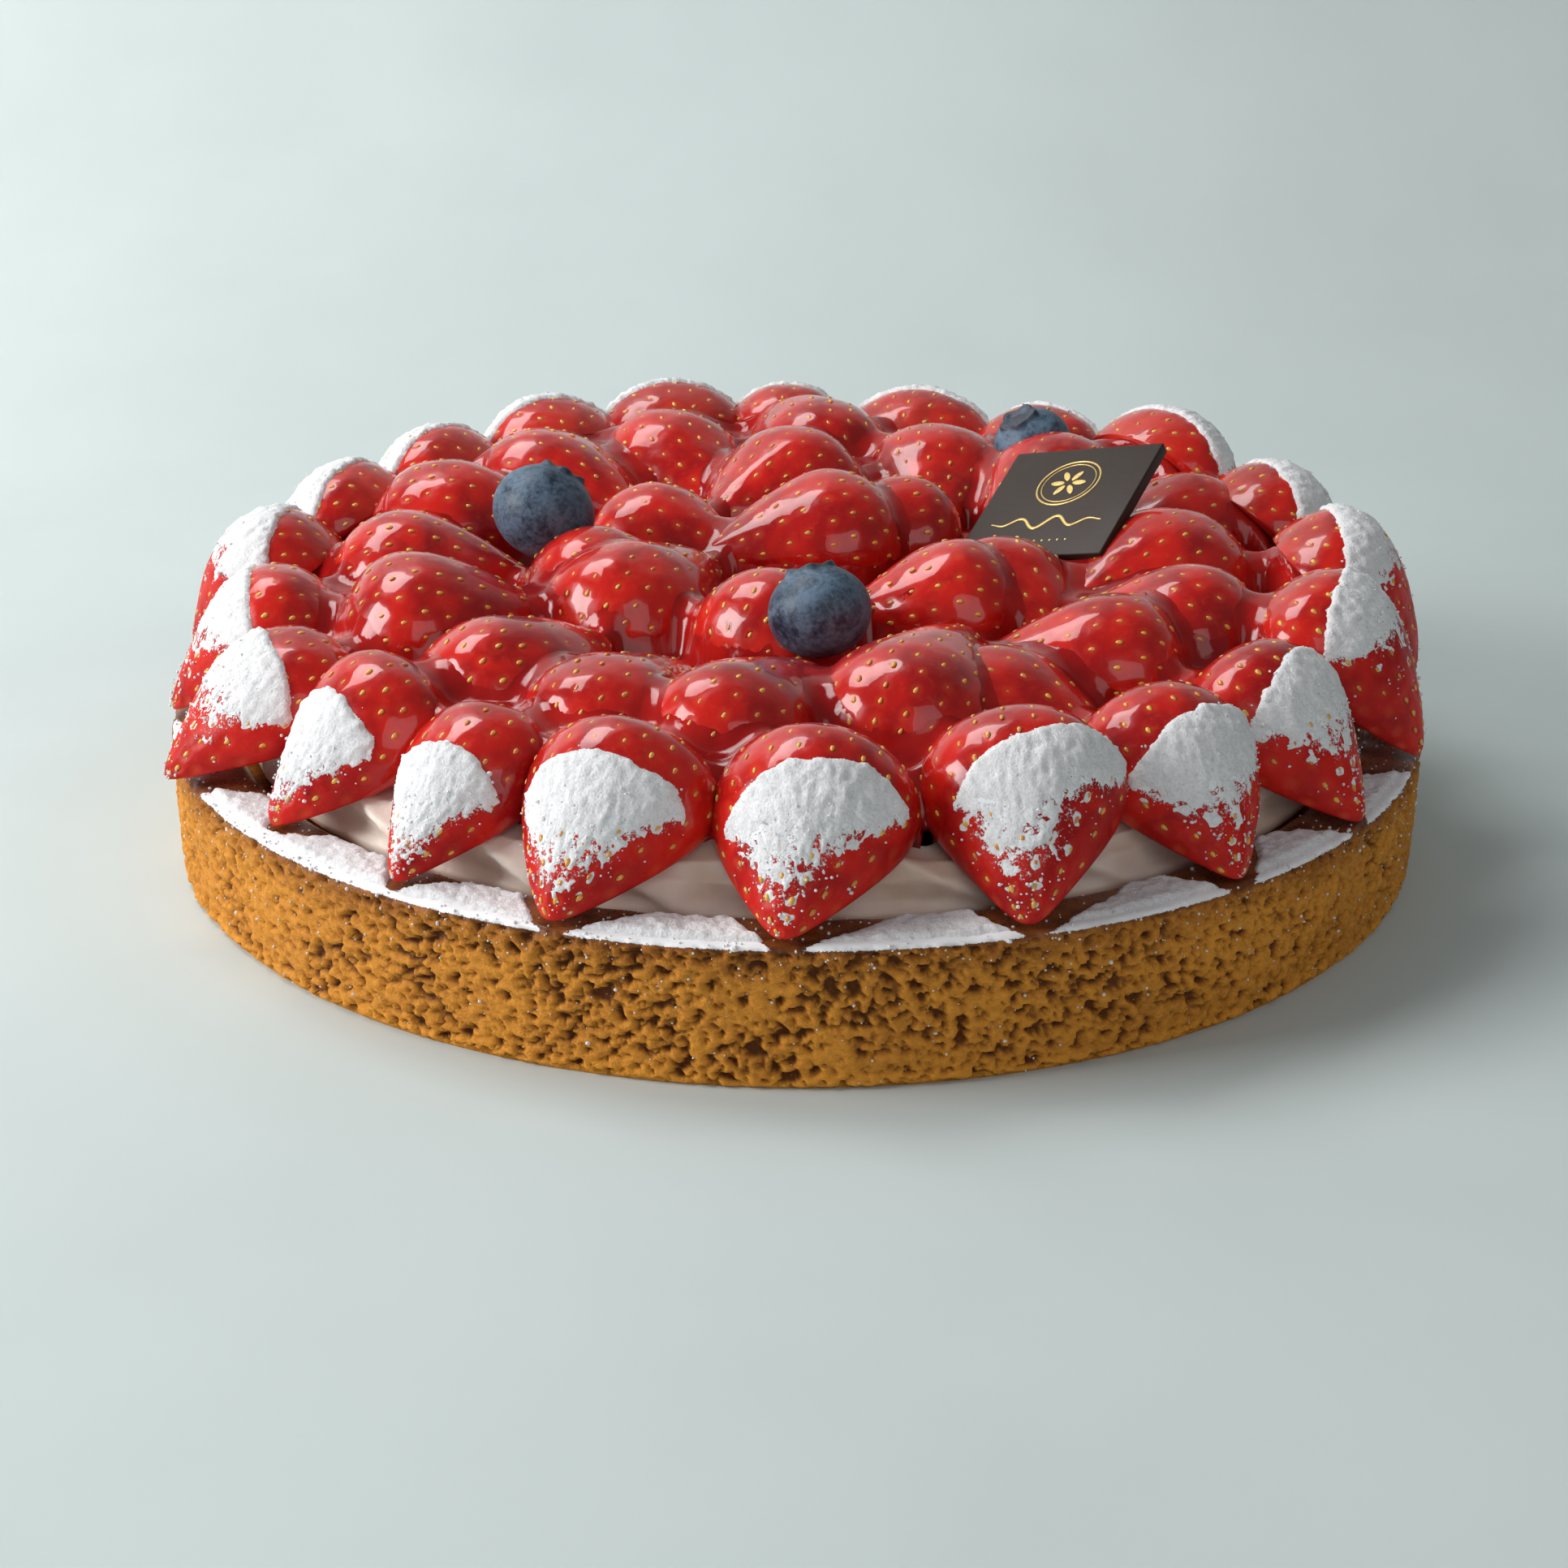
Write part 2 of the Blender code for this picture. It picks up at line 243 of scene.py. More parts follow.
class Finish:
    """A procedural material on one principled shader."""

    def __init__(self, name, **constants):
        self.material = bpy.data.materials.new(name)
        self.material.use_nodes = True
        self.tree = self.material.node_tree
        self.tree.nodes.clear()
        self.shader = self.tree.nodes.new("ShaderNodeBsdfPrincipled")
        output = self.tree.nodes.new("ShaderNodeOutputMaterial")
        self.tree.links.new(self.shader.outputs[0], output.inputs["Surface"])
        for socket, value in constants.items():
            self.feed(self.shader, socket.replace("_", " ").title().replace("Ior", "IOR"), value)
        self.place = self.node("ShaderNodeTexCoord", output="Object")

    def feed(self, node, socket, value):
        if isinstance(value, Value):
            self.tree.links.new(value.socket, node.inputs[socket])
        else:
            kind = node.inputs[socket].type
            if kind == "RGBA":
                value = (*value, 1.0)
            node.inputs[socket].default_value = value

    def give(self, socket, value):
        """Sets or links a socket of the shader itself."""
        self.feed(self.shader, socket, value)

    def node(self, kind, settings=None, inputs=None, output=0):
        """Any other node: its settings first, then the values or links of its sockets."""
        node = self.tree.nodes.new(kind)
        for setting, value in (settings or {}).items():
            setattr(node, setting, value)
        for socket, value in (inputs or {}).items():
            self.feed(node, socket, value)
        return Value(self, node.outputs[output])

    def noise(self, size, detail=2.0, roughness=0.5, distortion=0.0, stretch=(1, 1, 1)):
        """Soft noise about 0.5, whose features are about size apart."""
        at = self.node("ShaderNodeMapping", None, {"Vector": self.place, "Scale": stretch})
        return self.node(
            "ShaderNodeTexNoise",
            None,
            {
                "Vector": at, "Scale": 1 / size, "Detail": detail, "Roughness": roughness,
                "Distortion": distortion,
            },
        )

    def attribute(self, name):
        return self.node("ShaderNodeAttribute", {"attribute_name": name}, None, "Fac")

    def axis(self, letter):
        return self.node("ShaderNodeSeparateXYZ", None, {0: self.place}, letter)

    def mix(self, factor, low, high):
        """low where factor is 0 and high where it is 1. Both are colours."""
        node = self.tree.nodes.new("ShaderNodeMix")
        node.data_type = "RGBA"
        for socket, value in ((0, factor), (6, low), (7, high)):
            self.feed(node, socket, value)
        return Value(self, node.outputs[2])

    def bump(self, height, depth, strength=1.0):
        self.feed(
            self.shader,
            "Normal",
            self.node("ShaderNodeBump", None, {"Height": height, "Distance": depth, "Strength": strength}),
        )

    def wear(self, piece):
        """Puts the material on the whole piece."""
        piece.data.materials.clear()
        piece.data.materials.append(self.material)


# ---------------------------------------------------------------------------
# Mesh helpers
# ---------------------------------------------------------------------------


def only(piece):
    """Deselects everything, then selects the piece and makes it active."""
    bpy.ops.object.select_all(action="DESELECT")
    piece.hide_set(False)
    piece.select_set(True)
    bpy.context.view_layer.objects.active = piece


def added(name):
    """The primitive that an operator has just added, with its place put in its mesh."""
    piece = bpy.context.active_object
    piece.name = piece.data.name = name
    only(piece)
    bpy.ops.object.transform_apply(location=True, rotation=True, scale=True)
    return piece


def fresh():
    bpy.ops.object.select_all(action="DESELECT")


def finished(piece, slot, *nodes, smooth=True):
    """Shades the piece smooth if asked, hangs it on the tart and hides the nodes that it stands for."""
    if smooth:
        only(piece)
        bpy.ops.object.shade_smooth()
    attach(piece, ROOT)
    if nodes:
        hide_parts(*nodes)
    return piece


def tidy(piece, gap=0.01 * MM):
    """Merges doubled corners and turns all faces outwards."""
    only(piece)
    bpy.ops.object.mode_set(mode="EDIT")
    bpy.ops.mesh.select_all(action="SELECT")
    bpy.ops.mesh.remove_doubles(threshold=gap)
    bpy.ops.mesh.normals_make_consistent(inside=False)
    bpy.ops.object.mode_set(mode="OBJECT")
    return piece


def corners(mesh):
    found = np.empty(len(mesh.vertices) * 3)
    mesh.vertices.foreach_get("co", found)
    return found.reshape(-1, 3)


def move_corners(mesh, points):
    mesh.vertices.foreach_set("co", np.asarray(points, float).ravel())
    mesh.update()


def outwards(mesh):
    """The mesh's normals at its corners."""
    found = np.empty(len(mesh.vertices) * 3)
    mesh.vertex_normals.foreach_get("vector", found)
    return found.reshape(-1, 3)


def store(mesh, name, values):
    attribute = mesh.attributes.new(name, "FLOAT", "POINT")
    attribute.data.foreach_set("value", np.asarray(values, np.float32))


def mesh_piece(name, points, faces):
    mesh = bpy.data.meshes.new(name)
    mesh.from_pydata(np.asarray(points).tolist(), [], faces)
    mesh.validate()
    piece = bpy.data.objects.new(name, mesh)
    bpy.context.collection.objects.link(piece)
    return piece


def copies(name, pattern, places):
    """One mesh of the pattern repeated at each of the places, which are 4 by 4 matrices."""
    points = corners(pattern.data)
    count = len(points)
    places = np.asarray(places)
    spread = np.einsum("kij,nj->kni", places[:, :3, :3], points) + places[:, None, :3, 3]
    polygons = [tuple(p.vertices) for p in pattern.data.polygons]
    faces = [tuple(i + k * count for i in p) for k in range(len(places)) for p in polygons]
    bpy.data.objects.remove(pattern)
    return mesh_piece(name, spread.reshape(-1, 3), faces)


def spun(name, profile, steps):
    """The profile, a list of (radius, height), turned round the upright axis into a closed shell."""
    fresh()
    bpy.ops.mesh.primitive_circle_add(vertices=len(profile), fill_type="NOTHING")
    piece = added(name)
    move_corners(piece.data, [(r, 0.0, z) for r, z in profile])
    seam = {0, len(profile) - 1}
    bpy.ops.object.mode_set(mode="EDIT")
    bpy.ops.mesh.select_mode(type="EDGE")
    bpy.ops.mesh.select_all(action="DESELECT")
    bpy.ops.object.mode_set(mode="OBJECT")
    for edge in piece.data.edges:
        edge.select = set(edge.vertices) == seam
    bpy.ops.object.mode_set(mode="EDIT")
    bpy.ops.mesh.delete(type="EDGE_FACE")
    bpy.ops.mesh.select_mode(type="VERT")
    bpy.ops.object.mode_set(mode="OBJECT")
    turn = piece.modifiers.new("Turn", "SCREW")
    turn.steps = turn.render_steps = steps
    turn.use_merge_vertices = True
    turn.merge_threshold = 0.005 * MM
    bpy.ops.object.modifier_apply(modifier=turn.name)
    return tidy(piece, 0.005 * MM)


def fine(profile, step):
    """The profile with more points, none further apart than step."""
    points = [profile[0]]
    for start, end in zip(profile, profile[1:]):
        pieces = max(1, math.ceil(math.dist(start, end) / step))
        points += [
            tuple(a + (b - a) * k / pieces for a, b in zip(start, end)) for k in range(1, pieces + 1)
        ]
    return points


def arc(middle, radius, start, end, steps):
    """Points (radius, height) on an arc between two angles, in degrees."""
    turns = (math.radians(start + (end - start) * k / steps) for k in range(steps + 1))
    return [(middle[0] + radius * math.cos(t), middle[1] + radius * math.sin(t)) for t in turns]


def soft(low, high, x):
    t = np.clip((x - low) / (high - low), 0, 1)
    return t * t * (3 - 2 * t)


def lumps(points, size, shift=0.0):
    """Smooth noise from about -1 to 1, with features about size apart."""
    offset = Vector((shift, 1.7 * shift, 2.3 * shift))
    return np.array([noise.noise(Vector(p) + offset) for p in np.asarray(points) / size])


# ---------------------------------------------------------------------------
# How the half berries lie
# ---------------------------------------------------------------------------


class Lie:
    """The middle of a half berry's cut face, its axes and its sizes, as its solid shows them."""

    def __init__(self, node, number):
        mesh = frame["nodes"][node].data
        mesh.calc_loop_triangles()
        points = corners(mesh)
        triangles = np.array([t.vertices[:] for t in mesh.loop_triangles])
        normals = np.cross(
            points[triangles[:, 1]] - points[triangles[:, 0]], points[triangles[:, 2]] - points[triangles[:, 0]]
        )
        areas = np.linalg.norm(normals, axis=1)
        solid = areas > 1e-12
        triangles, normals, areas = triangles[solid], normals[solid] / areas[solid, None], areas[solid]
        levels = (normals * points[triangles[:, 0]]).sum(1)
        best = 0.0
        for k in np.argsort(-areas)[:12]:
            same = (normals @ normals[k] > 0.9998) & (abs(levels - levels[k]) < 0.15 * MM)
            if areas[same].sum() > best:
                best, up, foot = areas[same].sum(), -normals[k], points[triangles[k, 0]]
        heights = (points - foot) @ up
        thickness = heights.max()
        flat = points - heights[:, None] * up
        top = flat[heights.argmax()]
        middles = flat[abs(heights - MIDDLE_TO_TOP * thickness) < 0.1 * MM]
        steps = np.linalg.norm(middles - top, axis=1)
        if not len(steps):
            raise RuntimeError(f"{node} has no corner over the middle of its cut face")
        self.node = node
        self.number = number
        self.middle = middles[steps.argmax()]
        self.up = up
        self.along = (self.middle - top) / steps.max()
        self.across = np.cross(up, self.along)
        self.length = steps.max() / STEP_TO_LENGTH
        self.thickness = thickness
        self.width = thickness / THICKNESS_TO_WIDTH

    def skin(self, theta, phi):
        """Points of the skin. theta runs from the stem to the tip, and phi from side to side over the back."""
        draw = np.random.default_rng(100 + self.number)
        bend, lobe, lean, waist = draw.uniform(-1, 1, 4)
        along = (1 - np.cos(theta)) / 2
        girth = np.sin(theta) * (SHOULDER_FULLNESS - FULLNESS_LOSS * along)
        girth = girth * (1 - 0.20 * np.clip((along - 0.45) / 0.5, 0, 1) ** 1.5)
        girth = girth * (1 + 0.022 * lobe * np.cos(3 * phi + 5 * waist) * np.sin(theta))
        girth = girth * (1 + 0.030 * waist * np.sin(3.3 * theta + 2 * lobe))
        tuck = 1 - 0.06 * (1 - np.sin(phi)) ** 6
        x = -np.cos(theta) * self.length / 2
        y = girth * np.cos(phi) * tuck * self.width / 2 + 0.07 * bend * self.width * (along - 0.4) ** 2 * along
        z = girth * np.sin(phi) * self.thickness * (1 + 0.03 * lean * np.cos(phi))
        outer = np.multiply.outer
        return self.middle + outer(x, self.along) + outer(y, self.across) + outer(z, self.up)

    def seeds(self, spacing):
        """(theta, phi) of the seeds, in staggered rows round the berry."""
        draw = np.random.default_rng(500 + self.number)
        rows = max(4, round(0.5 * math.pi * (self.length / 2 + self.width / 2) / spacing * 0.98))
        found = []
        for row in range(1, rows):
            theta = math.pi * row / rows
            along = (1 - math.cos(theta)) / 2
            girth = math.sin(theta) * (SHOULDER_FULLNESS - FULLNESS_LOSS * along) * self.width / 2
            count = max(1, round(math.pi * girth / (1.28 * spacing)))
            stagger = 0.25 if row % 2 else 0.75
            for k in range(count):
                phi = math.pi * (k + stagger) / count + draw.normal(0, 0.07) / max(count, 2)
                if 0.05 < phi < math.pi - 0.05:
                    found.append((theta + draw.normal(0, 0.016), phi))
        return np.array(found)


def berry_lies():
    nodes = sorted(n for n in frame["nodes"] if n.startswith("strawberry"))
    return [Lie(node, number) for number, node in enumerate(nodes)]


def half_sphere(name, around, ringlets):
    """A half ball on its flat face, with its poles on the X axis: the start of every half berry."""
    fresh()
    bpy.ops.mesh.primitive_uv_sphere_add(
        segments=around, ring_count=ringlets, radius=1.0, rotation=(0, math.pi / 2, 0)
    )
    piece = added(name)
    bpy.ops.object.mode_set(mode="EDIT")
    bpy.ops.mesh.select_all(action="SELECT")
    bpy.ops.mesh.bisect(plane_co=(0, 0, 0), plane_no=(0, 0, 1), use_fill=True, clear_inner=True)
    bpy.ops.object.mode_set(mode="OBJECT")
    return piece


def turns_of(points):
    """(theta, phi) of points on the half ball."""
    theta = np.arccos(np.clip(-points[:, 0], -1, 1))
    phi = np.arctan2(np.clip(points[:, 2], 0, None), points[:, 1])
    return theta, phi


def berry_tops():
    """Heights of the berries' backs over a square grid, and the grid's middle index."""
    reach = round(HEIGHT_MAP_REACH / HEIGHT_MAP_STEP)
    tops = np.zeros((2 * reach + 1, 2 * reach + 1))
    for piece in bpy.data.objects:
        if piece.name.startswith("berry_"):
            points = corners(piece.data)
            cells = np.rint(points[:, :2] / HEIGHT_MAP_STEP).astype(int) + reach
            cells = np.clip(cells, 0, 2 * reach)
            np.maximum.at(tops, (cells[:, 0], cells[:, 1]), points[:, 2])
    return tops, reach


def at_places(grid, reach, points):
    """The grid's values under these points, between its own points."""
    spots = np.clip(np.asarray(points)[:, :2] / HEIGHT_MAP_STEP + reach, 0, 2 * reach - 1.001)
    low = np.floor(spots).astype(int)
    share = spots - low
    values = 0.0
    for i in (0, 1):
        for j in (0, 1):
            weight = abs(1 - i - share[:, 0]) * abs(1 - j - share[:, 1])
            values = values + weight * grid[low[:, 0] + i, low[:, 1] + j]
    return values


def spread(grid, cells, pick):
    """The grid with the greatest or least value within so many cells of each point."""
    result = grid.copy()
    for i in range(-cells, cells + 1):
        for j in range(-cells, cells + 1):
            if i * i + j * j <= cells * cells + 1:
                result = pick(result, np.roll(grid, (i, j), (0, 1)))
    return result


def blurred(grid, times):
    for _ in range(times):
        for side in (0, 1):
            grid = (np.roll(grid, 1, side) + 2 * grid + np.roll(grid, -1, side)) / 4
    return grid


# ---------------------------------------------------------------------------
# Icing sugar
# ---------------------------------------------------------------------------


def beyond_shield(points, settings):
    """How far each place lies outside the round card that kept the sugar off the top."""
    return np.hypot(points[:, 0], points[:, 1] + settings.shield_forward) - settings.shield_radius


def sugar_fall(points, settings):
    """How much sugar fell at each place: none under the card, and an uneven layer outside it."""
    beyond = beyond_shield(points, settings)
    ragged = beyond + 0.5 * MM * lumps(points, 2.2 * MM, 3.0) + 0.9 * MM * lumps(points, 9 * MM, 4.0)
    return soft(-0.3 * MM, 0.9 * MM, ragged)


def sugar_cover(points, normals, settings):
    """How well sugar covers a berry: what fell there, thinner outwards and on a steep side."""
    patches = 0.5 + 0.5 * lumps(points, 7 * MM, 8.0)
    outwards_share = (beyond_shield(points, settings) + 5 * MM * (patches - 0.5)) / (22 * MM)
    thinning = 1.08 - 0.85 * np.clip(outwards_share, 0, 1) ** 0.8
    lies = soft(-0.12, 0.55, normals[:, 2])
    return sugar_fall(points, settings) * thinning * lies * (0.80 + 0.32 * patches)


# ---------------------------------------------------------------------------
# Materials
# ---------------------------------------------------------------------------


def sprinkled(finish, surface, cover, white, grain=0.42 * MM):
    """The surface's colour with sugar grains over it, and where they lie. cover is 0 for bare and 1 for white."""
    speckle = finish.noise(grain, 3.0, 0.7)
    clumps = finish.noise(3.2 * grain, 2.0, 0.6)
    lying = (cover * 0.95 + speckle * 0.62 + clumps * 0.42 - 1.0).step(0.0, 0.09)
    return finish.mix(lying, surface, white), lying


def crust_finish(settings, sugar):
    finish = Finish("baked_crust", specular_ior_level=0.22)
    height = finish.axis("Z")
    baked = finish.noise(17 * MM, 3.0)
    crumb = finish.noise(1.5 * MM, 4.0, 0.65, 0.3, (1, 1, 1.5))
    fine_crumb = finish.noise(0.55 * MM, 3.0, 0.7)
    hollow = finish.attribute("hollow")
    rim = finish.attribute("rim")
    foot = 1 - height.step(0.4 * MM, 3.4 * MM)
    under_rim = height.step(17 * MM, 24.5 * MM)
    darkness = (baked * 0.5 + crumb * 0.9 + under_rim * 0.30 - foot * 0.45 - 0.42).step(0.0, 0.9)
    crumb_colour = finish.mix(darkness, settings.golden, settings.brown)
    # Painted shade: the pores' colour is pulled towards a deep brown, standing in for the shade that falls inside the
    # holes.
    crumb_colour = finish.mix(hollow.step(0.05, 0.9), crumb_colour, (0.120, 0.034, 0.006))
    # Painted glints: small flecks of the finest crumb noise are lightened towards a pale gold, standing in for
    # highlights on the crumb.
    crumb_colour = finish.mix(fine_crumb.step(0.60, 0.74) * 0.5, crumb_colour, (0.78, 0.42, 0.10))
    skin = finish.mix(finish.noise(5 * MM, 3.0).step(0.35, 0.68), settings.caramel, (0.10, 0.024, 0.007))
    surface = finish.mix(rim, crumb_colour, skin)
    surface, lying = sprinkled(finish, surface, finish.attribute("sugar"), sugar.white)
    finish.give("Base Color", surface)
    rough = (1 - rim) * 0.36 + 0.34 + lying * 0.2 - fine_crumb * 0.12
    finish.give("Roughness", rough)
    relief = crumb * (1 - rim * 0.9) * 0.8 + fine_crumb * (1 - rim * 0.7) * 0.35 + lying * 0.35
    finish.bump(relief, 0.55 * MM)
    return finish


def cream_finish(settings):
    finish = Finish(
        "cream", specular_ior_level=0.4, subsurface_weight=0.35, subsurface_radius=(1.0, 0.7, 0.5),
        subsurface_scale=2.5 * MM,
    )
    drift = finish.noise(14 * MM, 2.0)
    stained = finish.attribute("stain")
    ivory = finish.mix(drift.step(0.35, 0.7), settings.ivory, (0.74, 0.57, 0.45))
    finish.give("Base Color", finish.mix(stained * 0.55, ivory, (0.66, 0.28, 0.20)))
    finish.give("Roughness", finish.noise(2.5 * MM, 2.0) * 0.16 + 0.36)
    finish.bump(finish.noise(1.1 * MM, 3.0), 0.10 * MM)
    return finish


def strawberry_finish(settings, sugar):
    finish = Finish(
        "strawberry", specular_ior_level=0.18, coat_roughness=0.04, coat_ior=1.38,
        subsurface_weight=0.12, subsurface_radius=(1.0, 0.16, 0.10), subsurface_scale=2.2 * MM,
    )
    glazed = finish.attribute("glazed")
    ripe = finish.noise(11 * MM, 2.0, 0.5, 0.6)
    flecks = finish.noise(1.3 * MM, 3.0, 0.6)
    red = finish.mix(ripe.step(0.36, 0.70), settings.red, settings.deep_red)
    red = finish.mix(flecks.step(0.5, 0.8) * 0.25, red, (0.74, 0.07, 0.03))
    red = finish.mix(finish.attribute("dimple") * 0.35, red, (0.72, 0.10, 0.03))
    red = finish.mix(finish.attribute("shoulder") * 0.25, red, (0.70, 0.10, 0.05))
    surface, lying = sprinkled(finish, red, finish.attribute("sugar"), sugar.white)
    finish.give("Base Color", surface)
    bare = 0.36 + flecks * 0.14
    finish.give("Roughness", bare - glazed * 0.20 + lying * 0.45)
    finish.give("Coat Weight", glazed * (1 - lying))
    waves = finish.noise(8 * MM, 1.0) * 1.0 + finish.noise(2.6 * MM, 1.0) * 0.16
    finish.bump(waves * glazed + flecks * (1 - glazed) * 0.12 + lying * 0.22, 0.9 * MM, 0.8)
    return finish


def seed_finish(settings):
    finish = Finish("seed", specular_ior_level=0.5, coat_weight=0.7, coat_roughness=0.08)
    tone = finish.noise(2.3 * MM, 2.0)
    finish.give(
        "Base Color", finish.mix(tone.step(0.4, 0.65), settings.seed_yellow, (0.62, 0.20, 0.03))
    )
    finish.give("Roughness", finish.noise(0.5 * MM) * 0.2 + 0.3)
    return finish


def glaze_finish(settings):
    finish = Finish(
        "glaze", specular_ior_level=0.15, coat_weight=0.8, coat_roughness=0.03, coat_ior=1.36,
        subsurface_weight=0.25, subsurface_radius=(1.0, 0.1, 0.08), subsurface_scale=2.5 * MM,
    )
    depth = finish.noise(9 * MM, 2.0)
    finish.give("Base Color", finish.mix(depth.step(0.35, 0.7), settings.jelly, (0.46, 0.014, 0.010)))
    finish.give("Roughness", depth * 0.08 + 0.08)
    finish.bump(finish.noise(5 * MM, 1.0), 0.5 * MM)
    return finish


def sugar_finish(settings):
    finish = Finish(
        "sugar", specular_ior_level=0.25, subsurface_weight=0.2, subsurface_radius=(1.0, 0.9, 0.9),
        subsurface_scale=0.5 * MM,
    )
    powder = finish.noise(0.5 * MM, 4.0, 0.7)
    clumps = finish.noise(1.7 * MM, 2.0)
    finish.give("Base Color", finish.mix(powder.step(0.3, 0.6), (0.80, 0.78, 0.79), settings.white))
    finish.give("Roughness", powder * 0.15 + 0.82)
    finish.bump(powder + clumps, 0.4 * MM)
    return finish


def blueberry_finish(settings):
    finish = Finish("blueberry", specular_ior_level=0.4)
    crown = finish.attribute("crown")
    cloud = finish.noise(5.5 * MM, 3.0, 0.6, 0.5)
    speck = finish.noise(0.9 * MM, 3.0, 0.7)
    waxy = (cloud * 0.75 + speck * 0.5).step(0.42, 0.82)
    skin = finish.mix(waxy, settings.blue, settings.bloom)
    skin = finish.mix(crown, skin, (0.030, 0.022, 0.030))
    finish.give("Base Color", skin)
    finish.give("Roughness", waxy * 0.22 + 0.36)
    finish.bump(speck * 0.6 + cloud * 0.4, 0.16 * MM)
    return finish


def chocolate_finish(settings):
    finish = Finish("dark_chocolate", specular_ior_level=0.3)
    sheen = finish.noise(12 * MM, 2.0)
    scuff = finish.noise(1.4 * MM, 4.0, 0.7)
    finish.give(
        "Base Color", finish.mix(scuff.step(0.55, 0.8) * 0.4, settings.chocolate, (0.055, 0.030, 0.022))
    )
    finish.give("Roughness", sheen * 0.14 + 0.36 + scuff * 0.08)
    finish.bump(scuff * 0.5 + sheen, 0.08 * MM)
    return finish


def gold_finish(settings):
    finish = Finish("gold_print", metallic=0.85, specular_ior_level=0.5)
    worn = finish.noise(0.8 * MM, 3.0, 0.7)
    finish.give("Base Color", finish.mix(worn.step(0.5, 0.75), settings.gold, (0.46, 0.28, 0.09)))
    finish.give("Roughness", worn * 0.25 + 0.25)
    finish.bump(worn, 0.05 * MM)
    return finish


def stage_finish(settings):
    finish = Finish("painted_table", specular_ior_level=0.15)
    mottle = finish.noise(120 * MM, 3.0, 0.55)
    height = finish.axis("Z").step(0.02, 0.5)
    paint = finish.mix(height, settings.floor, settings.wall)
    darker = finish.mix(height, [0.94 * c for c in settings.floor], [0.95 * c for c in settings.wall])
    finish.give("Base Color", finish.mix(mottle.step(0.3, 0.75), paint, darker))
    finish.give("Roughness", mottle * 0.1 + 0.75)
    return finish


# ---------------------------------------------------------------------------
# Pieces
# ---------------------------------------------------------------------------


class TART_OT_crust(bpy.types.Operator):
    """Baked shell with an open crumb at its side and a smooth caramel rim"""

    bl_idname = "tart.crust"
    bl_label = "Crust"

    def execute(self, context):
        settings = context.scene.tart_crust
        low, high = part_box("crust")
        radius = (high.x - low.x + high.y - low.y) / 4
        top, ease = high.z, settings.edge_round
        inner = radius - settings.rim_width
        floor_of_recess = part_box("cream")[0].z
        side = [(radius - 1.6 * MM, 0.0), (radius - 0.5 * MM, 0.9 * MM), (radius, top - ease)]
        rim = arc((radius - ease, top - ease), ease, 0, 90, 4)
        rim += arc((inner + ease, top - ease), ease, 90, 180, 4)
        profile = (
            [(0.0, 0.0), (60 * MM, 0.0), (radius - 6 * MM, 0.0)]
            + fine(side, 0.52 * MM)
            + fine(rim, 0.9 * MM)[1:]
            + [(inner - 0.4 * MM, floor_of_recess), (60 * MM, floor_of_recess), (0.0, floor_of_recess)]
        )
        piece = spun("tart_shell", profile, CRUST_STEPS_ROUND)
        mesh = piece.data
        points, normals = corners(mesh), outwards(mesh)
        around = np.hypot(points[:, 0], points[:, 1])
        crumbly = soft(radius - 4 * MM, radius - 1.5 * MM, around) * soft(-0.1 * MM, 0.5 * MM, points[:, 2])
        ragged_height = points[:, 2] + 0.35 * MM * lumps(points, 1.6 * MM, 2.0)
        rim_share = soft(top - 1.5 * MM, top - 0.5 * MM, ragged_height)
        crumbly = crumbly * (1 - soft(top - 1.2 * MM, top - 0.2 * MM, points[:, 2]))
        chosen = np.nonzero(crumbly > 0)[0]
        crumb = points[chosen] * np.array([1.0, 1.0, 1.3])
        spacing = settings.pore_spacing
        open_here = 0.25 * lumps(points[chosen], 13 * MM, 7.5)
        wide = lumps(crumb, spacing, 5.0) + 0.45 * lumps(crumb, 0.45 * spacing, 6.0)
        small = lumps(crumb, 0.6 * spacing, 7.0) + 0.4 * lumps(crumb, 0.3 * spacing, 7.2)
        pores, rough = np.zeros(len(points)), np.zeros(len(points))
        large_holes = soft(0.05, 0.60, wide + open_here)
        small_holes = 0.6 * soft(0.10, 0.55, small + open_here)
        pores[chosen] = np.maximum(large_holes, small_holes)
        rough[chosen] = 0.8 * lumps(points[chosen], 15 * MM, 7.0) - 0.5 * wide - 0.35 * small
        shift = crumbly * (0.45 * MM * rough - settings.pore_depth * pores - 0.1 * MM)
        shift += (1 - crumbly) * 0.25 * MM * soft(inner - MM, inner, around) * lumps(points, 5 * MM, 9.0)
        shift[points[:, 2] < 0.05 * MM] = 0
        moved = points + normals * shift[:, None]
        moved[:, 2] = np.maximum(moved[:, 2], 0.0)
        move_corners(mesh, moved)
        # The hollow mask also darkens the crust's colour in the pores in the crust finish: painted shade inside the
        # holes.
        store(mesh, "hollow", pores * crumbly)
        store(mesh, "rim", rim_share * soft(inner - 3 * MM, inner, around))
        sugar = sugar_fall(moved, context.scene.tart_sugar)
        tops, reach = berry_tops()
        open_sky = 1 - soft(0.1, 0.75, at_places(blurred((tops > 0.02) * 1.0, 2), reach, moved))
        store(mesh, "sugar", sugar * open_sky * (0.10 + 0.70 * soft(0.2, 0.8, normals[:, 2])))
        crust_finish(settings, context.scene.tart_sugar).wear(piece)
        finished(piece, "baked_crust", "crust")
        return {"FINISHED"}


